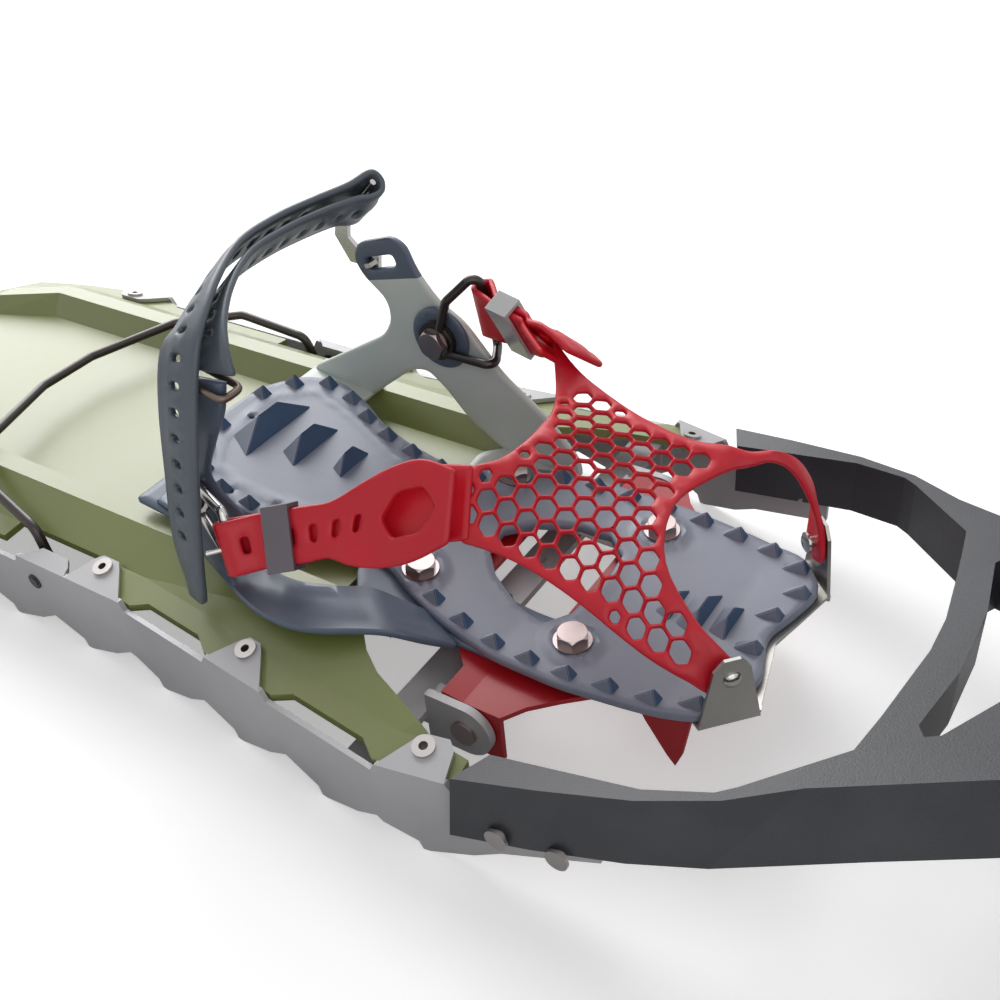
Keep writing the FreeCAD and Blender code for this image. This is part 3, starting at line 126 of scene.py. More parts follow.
# ---- Deck and rails ----
# The deck is one olive polypropylene moulding with a fine spark-eroded grain.  The rails are cut steel
# sheet, riveted to it.  Both keep the frame's shapes and get their finish here.
TONE_SCALE = 18             # slow drift of a surface's colour, per metre
GRAIN_DEPTH = 0.0002


def grain_group():
    """Fine moulded grain: a height for the bump and a slow tone for the colour."""
    group = bpy.data.node_groups.new("moulded grain", "ShaderNodeTree")
    for name, kind in (("Scale", "NodeSocketFloat"), ("Patch", "NodeSocketFloat")):
        group.interface.new_socket(name, in_out="INPUT", socket_type=kind)
    for name in ("Height", "Tone"):
        group.interface.new_socket(name, in_out="OUTPUT", socket_type="NodeSocketFloat")
    start = group.nodes.new("NodeGroupInput")
    end = group.nodes.new("NodeGroupOutput")
    place = group.nodes.new("ShaderNodeTexCoord")
    fine = group.nodes.new("ShaderNodeTexNoise")
    fine.inputs["Detail"].default_value = 3
    slow = group.nodes.new("ShaderNodeTexNoise")
    slow.inputs["Detail"].default_value = 5
    for noise, scale, result in ((fine, "Scale", "Height"), (slow, "Patch", "Tone")):
        group.links.new(place.outputs["Object"], noise.inputs["Vector"])
        group.links.new(start.outputs[scale], noise.inputs["Scale"])
        group.links.new(noise.outputs["Fac"], end.inputs[result])
    return group


GRAIN = grain_group()


def finish(name, dark, pale, roughness, metallic=0.0, grain=1500, bump=0.15, coat=0.0, clear=0.0,
           haze=0.12):
    """Material whose colour drifts between two tones, with the moulded grain as roughness and bump."""
    material = bpy.data.materials.new(name)
    material.use_nodes = True
    tree = material.node_tree
    shader = tree.nodes["Principled BSDF"]
    shader.inputs["Metallic"].default_value = metallic
    shader.inputs["Coat Weight"].default_value = coat
    shader.inputs["Coat Roughness"].default_value = haze
    if clear:
        shader.inputs["Subsurface Weight"].default_value = clear
        shader.inputs["Subsurface Radius"].default_value = (0.6, 0.7, 0.8)
        shader.inputs["Subsurface Scale"].default_value = 0.004
    texture = tree.nodes.new("ShaderNodeGroup")
    texture.node_tree = GRAIN
    texture.inputs["Scale"].default_value = grain
    texture.inputs["Patch"].default_value = TONE_SCALE
    tone = tree.nodes.new("ShaderNodeValToRGB")
    tone.color_ramp.elements[0].position = 0.35
    tone.color_ramp.elements[1].position = 0.68
    tone.color_ramp.elements[0].color = (*dark, 1)
    tone.color_ramp.elements[1].color = (*pale, 1)
    rough = tree.nodes.new("ShaderNodeMapRange")
    rough.inputs["To Min"].default_value = roughness - 0.06
    rough.inputs["To Max"].default_value = roughness + 0.06
    relief = tree.nodes.new("ShaderNodeBump")
    relief.inputs["Strength"].default_value = bump
    relief.inputs["Distance"].default_value = GRAIN_DEPTH
    tree.links.new(texture.outputs["Tone"], tone.inputs["Fac"])
    tree.links.new(tone.outputs["Color"], shader.inputs["Base Color"])
    tree.links.new(texture.outputs["Tone"], rough.inputs["Value"])
    tree.links.new(rough.outputs["Result"], shader.inputs["Roughness"])
    tree.links.new(texture.outputs["Height"], relief.inputs["Height"])
    tree.links.new(relief.outputs["Normal"], shader.inputs["Normal"])
    return material


def paint(material, *names):
    """Give CAD nodes a finish."""
    for name in names:
        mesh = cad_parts[name].data
        mesh.materials.clear()
        mesh.materials.append(material)


deck_plastic = finish("olive deck", (0.185, 0.215, 0.055), (0.220, 0.250, 0.070), 0.42, grain=2600, bump=0.25,
                      coat=0.7, haze=0.35)
rail_steel = finish("rail steel", (0.46, 0.455, 0.475), (0.54, 0.535, 0.55), 0.5, metallic=0.3, grain=900,
                    bump=0.05)
rivet_steel = finish("rivet steel", (0.42, 0.40, 0.39), (0.55, 0.52, 0.51), 0.3, metallic=1.0, bump=0.04)
paint(deck_plastic, "deck")
paint(rail_steel, "rail_left", "rail_right", "cross_member", "hinge_bracket_left", "hinge_bracket_right")
paint(rivet_steel, "deck_rivets", "nose_rivets")


# ---- Nose ----
# A charcoal nylon moulding with a coarse, sparkling grain.  It plugs over the rails' front ends
# and closes the toe.
nose_plastic = finish("charcoal nose", (0.030, 0.032, 0.040), (0.060, 0.062, 0.072), 0.38, grain=1800,
                      bump=0.5)
paint(nose_plastic, "nose_frame")


# ---- Pivot pins and heel lift ----
# The binding turns on two steel pins in the brackets' ears.  The heel lift is black-coated spring wire
# that turns in plastic bushes.
bolt_steel = finish("turned steel", (0.30, 0.25, 0.245), (0.42, 0.355, 0.35), 0.28, metallic=1.0, bump=0.04)
black_wire = finish("black wire", (0.020, 0.014, 0.012), (0.045, 0.030, 0.026), 0.3, metallic=0.3, coat=0.3)
bush_plastic = finish("bush plastic", (0.02, 0.02, 0.02), (0.03, 0.03, 0.03), 0.5)
paint(bolt_steel, "hinge_pin_left", "hinge_pin_right", "binding_bolts", "binding_nuts", "wing_bolt_left",
      "wing_bolt_right")
paint(black_wire, "heel_lift_bail", "strap_loop_left")
paint(bush_plastic, "bail_bushes")


# ---- Toe crampon and toe plate ----
# Steel plate with bent teeth and ears, in red powder coat; the toe plate is bare stainless sheet.
# A turned stud is riveted through each ear of the toe plate and holds a tongue of the mesh.
crampon_red = finish("red powder coat", (0.40, 0.004, 0.009), (0.48, 0.006, 0.012), 0.4, coat=0.15, bump=0.08,
                     haze=0.2)
stainless = finish("stainless sheet", (0.33, 0.32, 0.30), (0.43, 0.42, 0.40), 0.3, metallic=0.95, bump=0.05)
chrome = finish("bright wire", (0.46, 0.45, 0.44), (0.56, 0.55, 0.54), 0.2, metallic=1.0, bump=0.02)
paint(crampon_red, "crampon")
paint(stainless, "toe_plate")
paint(chrome, "strap_loop_right", "strap_prong", "heel_hook")


MM = 0.001
BAY_EDGE = 15.0             # the bay's rear edge lies this far in front of the middle of the length
EAR_MIDDLE = (143.5, 37.0, 53.95)           # middle of an ear's outer face, at the stud
EAR_OUTWARD = (0.731, 0.683)
STUD_PROFILE = [(0, 1.7), (1.2, 1.6), (2.1, 1.2), (2.9, 0.5), (2.9, 0.0), (1.9, 0.0), (1.9, -5.6),
                (3.6, -5.6), (3.6, -6.3), (2.4, -7.0), (0, -7.2)]
STUD_CREASE = math.radians(40)


def solid(name, body, crease):
    """Object from a closed surface, shaded smooth but for the edges sharper than the crease."""
    bmesh.ops.recalc_face_normals(body, faces=body.faces)
    for face in body.faces:
        face.smooth = True
    for edge in body.edges:
        edge.smooth = edge.calc_face_angle(0) < crease
    mesh = bpy.data.meshes.new(name)
    body.to_mesh(mesh)
    body.free()
    return placed(name, mesh)


def turned(name, profile, origin, axis, count=28):
    """Turned piece: radius and place along its axis, in millimetres."""
    turn = Vector((0, 0, 1)).rotation_difference(axis)
    body = bmesh.new()
    rings = []
    for radius, rise in profile:
        ring = []
        for k in range(count if radius else 1):
            angle = 2 * math.pi * k / count
            point = Vector((radius * math.cos(angle), radius * math.sin(angle), rise)) * MM
            ring.append(body.verts.new(Vector(origin) + turn @ point))
        rings.append(ring)
    for low, high in zip(rings, rings[1:]):
        for k in range(count):
            corners = [ring[j % len(ring)] for ring, j in ((low, k), (low, k + 1), (high, k + 1), (high, k))]
            body.faces.new(list(dict.fromkeys(corners)))
    return solid(name, body, STUD_CREASE)


for side_name, side in (("left", 1), ("right", -1)):
    place = ((EAR_MIDDLE[0] + BAY_EDGE) * MM, side * EAR_MIDDLE[1] * MM, EAR_MIDDLE[2] * MM)
    outward = Vector((EAR_OUTWARD[0], side * EAR_OUTWARD[1], 0))
    stud = turned("stud_" + side_name, STUD_PROFILE, place, outward)
    stud.data.materials.append(chrome)
    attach(stud, "binding")
    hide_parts("ear_stud_" + side_name)


# ---- Foot bed ----
# Blue-grey translucent polyurethane plate bolted over the crampon: a raised rim, ringed bolt seats,
# a mouth over the crampon and pointed ribs under the heel and the ball of the foot.
HEEL_RISE = 0.121
TOE_RISE = 0.1
FLAT_START = 65.0
FLAT_END = 125.0
SOLE_Z = 38.5
BED_T = 3.5
WING_T = 2.5
EDGE_ROUND = 0.6            # rounding along the edges of every moulded sheet
SHEET_CREASE = math.radians(52)
BOLT_HOLE_R = 3.1


def sole(x):
    """Height of the bed's upper face: flat under the toes, climbing to the heel."""
    return SOLE_Z + HEEL_RISE * np.maximum(0, FLAT_START - x) + TOE_RISE * np.maximum(0, x - FLAT_END)


def rounded(points, radius, steps=4):
    """Closed outline with each corner turned into an arc."""
    result = []
    for i, point in enumerate(points):
        corner = Vector(point)
        before, after = Vector(points[i - 1]), Vector(points[(i + 1) % len(points)])
        into, out = (before - corner), (after - corner)
        cut = min(radius, into.length * 0.45, out.length * 0.45)
        a, b = corner + into.normalized() * cut, corner + out.normalized() * cut
        for k in range(steps + 1):
            t = k / steps
            result.append(tuple(a * (1 - t) ** 2 + corner * (2 * t * (1 - t)) + b * t ** 2))
    return result


def spaced(points, step):
    """Closed outline with points at most a step apart."""
    result = []
    for a, b in zip(points, points[1:] + points[:1]):
        count = max(1, math.ceil(math.dist(a, b) / step))
        result += [(a[0] + (b[0] - a[0]) * k / count, a[1] + (b[1] - a[1]) * k / count) for k in range(count)]
    return result


def shrunk(points, distance):
    """Closed counter-clockwise outline moved inwards; a negative distance moves it outwards."""
    result = []
    for i, point in enumerate(points):
        a, b = Vector(points[i - 1]), Vector(points[(i + 1) % len(points)])
        along = (b - a).normalized()
        result.append((point[0] - along.y * distance, point[1] + along.x * distance))
    return result


def counter_clockwise(points):
    """The same closed outline, run with its inside on the left."""
    area = sum(a[0] * b[1] - b[0] * a[1] for a, b in zip(points, points[1:] + points[:1]))
    return points if area > 0 else points[::-1]


def inside(polygon, x, y):
    """Even-odd test of many points against one outline."""
    result = np.zeros(len(x), bool)
    for (x0, y0), (x1, y1) in zip(polygon, polygon[1:] + polygon[:1]):
        crosses = (y0 > y) != (y1 > y)
        slope = (x1 - x0) / (y1 - y0) if y1 != y0 else 0.0
        result ^= crosses & (x < x0 + (y - y0) * slope)
    return result


def edge_distance(loops, x, y):
    """Distance of many points to the nearest of several outlines."""
    nearest = np.full(len(x), 1e9)
    for loop in loops:
        for (x0, y0), (x1, y1) in zip(loop, loop[1:] + loop[:1]):
            dx, dy = x1 - x0, y1 - y0
            t = np.clip(((x - x0) * dx + (y - y0) * dy) / max(dx * dx + dy * dy, 1e-9), 0, 1)
            nearest = np.minimum(nearest, np.hypot(x - x0 - t * dx, y - y0 - t * dy))
    return nearest


def moulded(name, outline, holes, thickness, bend, relief=None, step=4.0):
    """Sheet moulding: a blank with holes and rounded edges, bent into place.

    bend(x, y, h) gives the place of a point of the blank.  relief(x, y, edge) gives the height that is
    added to its upper face.
    """
    outline = counter_clockwise(spaced(outline, step * 0.6))
    holes = [counter_clockwise(spaced(hole, step * 0.6)) for hole in holes]
    loops = [outline] + holes
    caps = [shrunk(outline, EDGE_ROUND)] + [shrunk(hole, -EDGE_ROUND) for hole in holes]
    points, fixed = [], []
    for loop in caps:
        first = len(points)
        points += loop
        fixed += [(first + k, first + (k + 1) % len(loop)) for k in range(len(loop))]
    rim = len(points)
    low, high = np.min(outline, 0), np.max(outline, 0)
    gx, gy = np.meshgrid(np.arange(low[0], high[0], step), np.arange(low[1], high[1], step))
    gx, gy = gx.ravel(), gy.ravel()
    keep = inside(outline, gx, gy) & (edge_distance(caps, gx, gy) > step * 0.45)
    for hole in holes:
        keep &= ~inside(hole, gx, gy)
    points += list(zip(gx[keep].tolist(), gy[keep].tolist()))
    flat, _, triangles, source, _, _ = delaunay_2d_cdt([Vector(p) for p in points], fixed, [], 0, 1e-5)
    flat = np.array([tuple(p) for p in flat])
    triangles = np.array([t for t in triangles if len(t) == 3])
    middle = flat[triangles].mean(1)
    kept = inside(caps[0], middle[:, 0], middle[:, 1])
    for hole in caps[1:]:
        kept &= ~inside(hole, middle[:, 0], middle[:, 1])
    triangles = triangles[kept]
    place = {old: new for new, olds in enumerate(source) for old in olds}
    lift = np.zeros(len(flat))
    if relief is not None:
        lift = relief(flat[:, 0], flat[:, 1], edge_distance(loops, flat[:, 0], flat[:, 1]))
    half = thickness / 2
    count = len(flat)
    walls = np.array([p for loop in loops for p in loop])
    x = np.concatenate([flat[:, 0], flat[:, 0], walls[:, 0], walls[:, 0]])
    y = np.concatenate([flat[:, 1], flat[:, 1], walls[:, 1], walls[:, 1]])
    wall_lift = np.array([lift[place[k]] for k in range(rim)])
    h = np.concatenate([half + lift, np.full(count, -half), half - EDGE_ROUND + wall_lift,
                        np.full(rim, EDGE_ROUND - half)])
    bent = bend(x, y, h)
    faces = triangles.tolist() + (triangles[:, ::-1] + count).tolist()
    first = 0
    for index, loop in enumerate(loops):
        size = len(loop)
        for k in range(size):
            a, b = first + k, first + (k + 1) % size
            upper, lower = 2 * count, 2 * count + rim
            rows = [(place[a], place[b]), (upper + a, upper + b), (lower + a, lower + b),
                    (count + place[a], count + place[b])]
            for (p, q), (r, s) in zip(rows, rows[1:]):
                faces.append((p, r, s, q) if index == 0 else (q, s, r, p))
        first += size
    shell = bpy.data.meshes.new("shell")
    shell.from_pydata(((bent + np.array([BAY_EDGE, 0, 0])) * MM).tolist(), [], faces)
    body = bmesh.new()
    body.from_mesh(shell)
    bpy.data.meshes.remove(shell)
    bmesh.ops.delete(body, geom=[v for v in body.verts if not v.link_faces], context="VERTS")
    return solid(name, body, SHEET_CREASE)


def dress(piece, material, body, slot, *replaced):
    """Finish a piece, seat it on its body and let it stand for its solids."""
    piece.data.materials.append(material)
    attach(piece, body)
    if replaced:
        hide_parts(*replaced)


def oblong(x, half_long, half_wide, radius, steps):
    """Rectangle with rounded corners, on the middle line."""
    return rounded([(x - half_long, -half_wide), (x + half_long, -half_wide), (x + half_long, half_wide),
                    (x - half_long, half_wide)], radius, steps)


def circle(x, y, radius, count=24):
    """Round outline."""
    return [(x + radius * math.cos(2 * math.pi * k / count), y + radius * math.sin(2 * math.pi * k / count))
            for k in range(count)]


def plate_under(depth):
    """Bend for a plate that follows the sole line, its middle a depth below it."""
    def bend(x, y, h):
        return np.stack([x, y, sole(x) - depth + h], 1)
    return bend


harness_blue = finish("blue-grey polyurethane", (0.085, 0.115, 0.170), (0.115, 0.150, 0.215), 0.38, grain=700,
                      bump=0.12, coat=0.15, clear=0.2, haze=0.3)
bed_blue = finish("bed polyurethane", (0.205, 0.228, 0.300), (0.270, 0.295, 0.370), 0.42, grain=700,
                  bump=0.12, coat=0.1, clear=0.25, haze=0.35)
# Darker blue painted on the claws' toe-facing faces: painted shade for the faces turned away from the lamps,
# not a different grade of plastic.
claw_painted_shade = finish("claw painted shade", (0.045, 0.095, 0.190), (0.070, 0.130, 0.235), 0.4, grain=700,
                   bump=0.1)
wing_pale = finish("pale polyurethane", (0.64, 0.69, 0.65), (0.72, 0.77, 0.72), 0.35, grain=700, bump=0.12,
                   coat=0.15, clear=0.35, haze=0.3)
BED_RIGHT = [(147, -21), (137, -43), (118, -47.5), (90, -51), (66, -50.5), (43, -47), (24, -41), (10, -34),
             (-8, -34), (-25, -39.5), (-50, -43.5), (-72, -41), (-86, -32), (-94, -16)]
BED_LEFT = [(-96, 4), (-94, 22), (-85, 37), (-70, 43), (-52, 37), (-40, 30), (-22, 25), (-4, 23), (8, 24),
            (19, 36), (38, 45), (62, 50), (90, 50), (118, 46), (137, 42), (148, 27), (144, 11), (140, 0)]
BED_MOUTH = [(36, 3), (44, 13), (58, 21), (70, 22), (79, 14), (80, 0), (78, -20), (72, -29), (60, -26),
             (46, -18), (37, -8)]
BED_CORNER = 6
BED_GRID = 2.4
BOLT_PLACES = [(85.5, 32.5), (23.0, 31.0)]
BOLT_SEATS = [(x, side * y) for x, y in BOLT_PLACES for side in (1, -1)]
RING_R = 10.0               # raised ring round a bolt, and the seat sunk inside it
SEAT_R = 7.4
RING_H = 1.5
SEAT_DEPTH = 1.35
HEEL_LINE = [(-84, -14), (-74, -29), (-52, -33), (-26, -28), (-10, -22), (-10, 12), (-26, 16), (-52, 26),
             (-74, 31), (-86, 18)]
HEEL_BLADES = [(-74.4, 20, 9), (-54, 14.5, 8), (-33.6, 9.5, 7)]         # place, half width, height
TOE_BLADES = [(116, 13, 5), (126, 10, 5), (106, 10, 3.5)]
BLADE_RIDGE = 0.14          # half the ridge, as a share of the width
HEEL_SHIFT = 1.5            # the heel's blades lie this far to the inner side
CLAW_PITCH = 14.0
CLAW_INSET = 4.2
CLAW_SIZE = (10.0, 5.5, 5.0)
CLAW_RIDGE = 0.1
CLAW_ROUND = 0.35
SUNK = 0.8                  # a rib's foot lies this far under the plate's face
SHADE_FACING = 0.35                # faces that look to the toe more than this take the darker blue, a painted shade
DIMPLES = [(-84, 2), (-60, 37), (-60, -37), (-40, -34), (-24, -32), (-20, 20)]
MARKS = [(-16, -24, 4.5), (124, -32, 4.0), (128, 30, 4.0)]


def bed_relief(x, y, edge):
    """Rings and sunk seats at the bolts, the heel's outline, faint round marks and a soft rim."""
    lift = 0.5 * np.exp(-(edge - 1.6) ** 2)
    for px, py in BOLT_SEATS:
        r = np.hypot(x - px, y - py)
        lift = np.maximum(lift, RING_H * np.clip((RING_R - r) / 0.8, 0, 1))
        lift -= SEAT_DEPTH * np.clip((SEAT_R - r) / 0.6, 0, 1)
    for px, py, radius in MARKS:
        lift += 0.18 * np.exp(-((np.hypot(x - px, y - py) - radius) / 0.35) ** 2)
    return lift + 0.9 * np.exp(-(edge_distance([HEEL_LINE], x, y) / 1.1) ** 2)


def claw(body, x, y, long, wide, high, ridge):
    """Pointed rib: a long ramp up to a short ridge with a steep face in front of it."""
    foot = float(sole(np.array([x]))[0]) - SUNK
    rear, front, top = -long * 0.62, long * 0.38, long * 0.12
    corners = [(rear, -wide * 0.35, 0), (rear, wide * 0.35, 0), (front, wide / 2, 0), (front, -wide / 2, 0),
               (top, -wide * ridge, high + SUNK), (top, wide * ridge, high + SUNK)]
    verts = [body.verts.new(((x + u + BAY_EDGE) * MM, (y + v) * MM, (foot + w) * MM)) for u, v, w in corners]
    for face in ((0, 1, 5, 4), (1, 2, 5), (2, 3, 4, 5), (3, 0, 4), (3, 2, 1, 0)):
        body.faces.new([verts[k] for k in face])


bed_outline = rounded(BED_RIGHT + BED_LEFT, BED_CORNER)
bed_holes = [BED_MOUTH] + [circle(x, y, BOLT_HOLE_R, 16) for x, y in BOLT_SEATS]
bed_holes += [circle(x, y, 1.1, 10) for x, y in DIMPLES]
bed = moulded("bed_plate", bed_outline, bed_holes, BED_T, plate_under(BED_T / 2), bed_relief, BED_GRID)
dress(bed, bed_blue, "binding", "harness", "foot_bed")

claw_body = bmesh.new()
for x, half, high in HEEL_BLADES + TOE_BLADES:
    claw(claw_body, x, 0 if x > 0 else HEEL_SHIFT, half * 0.75, half * 2, high, BLADE_RIDGE)
rim_line = shrunk(counter_clockwise(spaced(bed_outline, 1.0)), CLAW_INSET)
walked = CLAW_PITCH / 2
for a, b in zip(rim_line, rim_line[1:]):
    walked += math.dist(a, b)
    clear_of_bolts = all(math.dist(a, seat) > RING_R + 4 for seat in BOLT_SEATS)
    if walked > CLAW_PITCH and clear_of_bolts and abs(a[1]) > 8 and a[0] < 143:
        claw(claw_body, *a, *CLAW_SIZE, CLAW_RIDGE)
        walked = 0.0
bmesh.ops.recalc_face_normals(claw_body, faces=claw_body.faces)
bmesh.ops.bevel(claw_body, geom=claw_body.edges[:], offset=CLAW_ROUND * MM, segments=2, affect="EDGES")
# Faces turned to the toe take the darker blue as painted shade; the other faces keep the bed's own blue.
for face in claw_body.faces:
    face.material_index = int(face.normal.x < SHADE_FACING)
claw_mesh = bpy.data.meshes.new("bed_claws")
claw_body.to_mesh(claw_mesh)
claw_body.free()
claws = placed("bed_claws", claw_mesh)
dress(claws, claw_painted_shade, "binding", "harness")
claws.data.materials.append(bed_blue)


# ---- Wings ----
# The two harness wings are flat polyurethane mouldings bolted under the bed.  The inner one stands up and
# carries a slotted tip; the outer one has fallen open.  A thick bead runs round each edge.
BEAD_H = 0.7
BEAD_W = 3.2


def bead(x, y, edge):
    """Rounded bead along the edges of a wing."""
    t = np.clip(edge / BEAD_W, 0, 1)
    return BEAD_H * np.where(t < 1, np.sin(math.pi * np.clip(t, 0, 1)) ** 0.5, 0)


LEFT_WING = [(-57, 112), (-54, 119), (-37, 124.5), (-31, 122), (-27, 112), (-18, 101), (-7, 95), (9, 76),
             (29, 61),
             (42, 46), (43, 37), (9, 39.2), (-8, 50.5), (-19, 63), (-27, 69), (-35, 67), (-50, 55), (-58,
                                                                                                     47.8),
             (-90, 51.5), (-88, 55), (-65, 69), (-47, 80), (-42, 88), (-43, 97), (-53, 105)]
TIP_SLOT = [(-51.5, 113.2), (-37, 117.5), (-35.5, 112.5), (-50, 108.2)]
WING_Y = 47.5
LEFT_BOLT = (-17, 87)


def stand_left(x, z, h):
    """The inner wing stands upright, along the foot."""
    return np.stack([x, WING_Y + WING_T / 2 + h, z], 1)


wing_holes = [rounded(TIP_SLOT, 2.5), circle(*LEFT_BOLT, BOLT_HOLE_R)]
left_wing = moulded("wing_inner", rounded(LEFT_WING, 5), wing_holes, WING_T, stand_left, bead, 1.6)
dress(left_wing, wing_pale, "binding", "wing_pale", "wing_left")
left_wing.data.materials.append(harness_blue)
TIP_AT = Vector((-0.027, 0, 0.106))         # the slotted tip is moulded in the dark grade, above this line
TIP_UP = Vector((-0.25, 0, 1)).normalized()
wing_body = bmesh.new()
wing_body.from_mesh(left_wing.data)
everything = wing_body.verts[:] + wing_body.edges[:] + wing_body.faces[:]
bmesh.ops.bisect_plane(wing_body, geom=everything, plane_co=TIP_AT, plane_no=TIP_UP)
for face in wing_body.faces:
    face.material_index = int((face.calc_center_median() - TIP_AT).dot(TIP_UP) > 0)
wing_body.to_mesh(left_wing.data)
wing_body.free()
BOSS_T = 2.0
BOSS_R = 13.0
BOSS_RIM = 3.0              # the boss is sunk inside this rim
BOSS_SINK = 0.9


def boss_face(x, z, h):
    """The boss lies on the inner wing's face towards the foot."""
    return np.stack([x, WING_Y - BOSS_T / 2 + h, z], 1)


def boss_relief(x, z, edge):
    """Sunk middle inside a plain rim."""
    return -BOSS_SINK * np.clip((edge - BOSS_RIM) / 0.8, 0, 1)


boss = moulded("wing_boss", circle(*LEFT_BOLT, BOSS_R, 40), [circle(*LEFT_BOLT, BOLT_HOLE_R)], BOSS_T,
               boss_face, boss_relief, 2.5)
dress(boss, harness_blue, "binding", "harness")

FRONT_PAD = [(97, 22), (97, 42), (76, 47.5), (43, 50), (9, 50), (1, 40), (2, 22)]
BAND = [(-90, 0), (-90, 57), (-58, 57), (-58, 0)]
for side, material, slot in ((1, wing_pale, "wing_pale"), (-1, harness_blue, "harness")):
    side_name = "inner" if side > 0 else "outer"
    pad_outline = [(x, y * side) for x, y in FRONT_PAD]
    pad = moulded("wing_pad_" + side_name, rounded(pad_outline, 3),
                  [circle(x, y * side, BOLT_HOLE_R) for x, y in BOLT_PLACES], WING_T,
                  plate_under(BED_T + WING_T / 2))
    dress(pad, material, "binding", slot)
    band = moulded("wing_band_" + side_name, rounded([(x, y * side) for x, y in BAND], 2), [], WING_T,
                   plate_under(BED_T + WING_T / 2))
    dress(band, material, "binding", slot)


def smooth_rows(rows, dense):
    """Catmull-Rom curve through rows of numbers."""
    rows = np.array(rows, float)
    padded = np.vstack([2 * rows[0] - rows[1], rows, 2 * rows[-1] - rows[-2]])
    result = []
    for i in range(1, len(padded) - 2):
        p, q, r, s = padded[i - 1:i + 3]
        for k in range(dense):
            t = k / dense
            result.append(0.5 * (2 * q + (r - p) * t + (2 * p - 5 * q + 4 * r - s) * t ** 2
                                 + (3 * q - p - 3 * r + s) * t ** 3))
    return np.array(result + [rows[-1]])


class Run:
    """A strap's way: middle line and half-width vectors, read by the length along it."""

    def __init__(self, rows, dense=8):
        table = smooth_rows([(*c, *h) for c, h in rows], dense)
        self.middle, self.half = table[:, :3], table[:, 3:]
        self.length = np.concatenate([[0], np.cumsum(np.linalg.norm(np.diff(self.middle, axis=0), axis=1))])
        along = np.gradient(self.middle, axis=0)
        up = np.cross(along, self.half)
        self.up = up / np.linalg.norm(up, axis=1)[:, None]
        self.width = np.linalg.norm(self.half, axis=1)
        self.total = self.length[-1]

    def read(self, table, s):
        return np.stack([np.interp(s, self.length, table[:, k]) for k in range(3)], 1)

    def half_width(self, s):
        return np.interp(s, self.length, self.width)

    def bend(self, s, t, h):
        side = self.read(self.half, s)
        side /= np.linalg.norm(side, axis=1)[:, None]
        return self.read(self.middle, s) + side * t[:, None] + self.read(self.up, s) * h[:, None]

    def outline(self, start=0.0, end=None, step=3.0):
        """Blank of the run between two lengths."""
        end = self.total if end is None else end
        places = np.linspace(start, end, max(3, int((end - start) / step)))
        right = [(s, -float(self.half_width(s))) for s in places]
        left = [(s, float(self.half_width(s))) for s in places[::-1]]
        return right + left


RIGHT_LEG = [((44, -47, 36.3), (7, -4.5, 0)), ((36.5, -53, 42), (8.5, -5.5, -0.4)),
             ((27, -59.5, 48.3), (9.3, -6.8, -0.5)), ((17, -64.5, 48.9), (9.3, -7, -0.4)),
             ((5, -69.5, 48.8), (9.6, -8, -0.4)), ((-7, -71, 48.8), (8.5, -9.5, -0.4)),
             ((-20, -67.5, 48.9), (5, -11, -0.4)), ((-33, -61.5, 51.8), (0, -10.5, -2.6)),
             ((-45, -58.3, 56.5), (-5, -7, -6)), ((-53, -57.2, 65), (-8.5, -3, -7)),
             ((-54.5, -57, 77), (-11, -0.5, -4.5)), ((-47, -57, 94), (-11.5, 0, -3)),
             ((-38.5, -56.5, 108), (-10, 0, -2)), ((-34, -56, 121), (-9, 0, -1))]
RIGHT_REAR_LEG = [((-52, -58, 60), (5, 0, 6)), ((-62, -57, 56), (4, -1, 5)), ((-72, -54, 52.8), (3, -3, 3)),
                  ((-82, -49, 53.2), (1, -6, 0))]
leg_run = Run(RIGHT_LEG)
right_wing = moulded("wing_outer", leg_run.outline(), [], WING_T, leg_run.bend, bead, 3.0)
dress(right_wing, harness_blue, "binding", "harness", "wing_right")
rear_run = Run(RIGHT_REAR_LEG)
rear_leg = moulded("wing_outer_rear", rear_run.outline(), [], WING_T * 0.9, rear_run.bend, None, 3.0)
dress(rear_leg, harness_blue, "binding", "harness")


# ---- Forefoot mesh ----
# One red rubber moulding over the ball of the foot, with rows of hexagonal windows and a solid border.
# Its straps run to the two loops and turn round their bars; the outer one ends in a pull ring.
FAR_EDGE = [(49, 37, 96), (61, 33, 92.5), (79, 28.5, 89), (99, 26.5, 87), (112, 28.5, 87.5), (124, 32.5, 87)]
REAR_EDGE = [(44, -35, 83), (43, -26, 90), (52, -18, 92.5), (55, -8, 93.5), (54.5, 4, 93), (53, 14, 93),
             (46, 28, 93), (36, 44, 99)]
NEAR_EDGE = [(132, -42.5, 52), (126, -43.5, 54.5), (118, -43.5, 57), (108, -42.5, 60.5), (96, -41, 65),
             (84, -40, 69), (72, -40, 72.5), (60, -41, 74.5), (52, -42, 75)]
FRONT_EDGE = [(120, 27, 83), (109, 10, 82.5), (107.5, -6, 82.5), (114, -22.5, 77), (128, -31, 67)]
STRAP_T = 2.2
WINDOW_PITCH = 7.3
WINDOW_R = 3.55
LEAST_WINDOW = 1.4
BORDER = 1.7
TONGUE_START = 134          # no windows ahead of this
SLACK = 2.0                 # how loosely the skin follows the rim's points


def crest(x):
    """Height of the mesh over the middle of the foot."""
    return 93 - 0.19 * (x - 53)


def blank_place(point):
    """Where a point of the worn mesh lies on the flat blank."""
    x, y, z = point
    return x, math.copysign(math.hypot(y, z - crest(x)), y)


FAR_TONGUE = [(132, 38, 81), (137, 40, 70), (137.2, 40, 50), (141.6, 35.2, 46), (146, 30.5, 50),
              (144, 32, 62), (138, 33, 73)]
NEAR_TONGUE = [(140, -33, 59), (145, -31.5, 51), (141, -36, 46), (137, -40, 47.5)]
MESH_RIM = (REAR_EDGE + FAR_EDGE + FAR_TONGUE + FRONT_EDGE + NEAR_TONGUE + NEAR_EDGE)


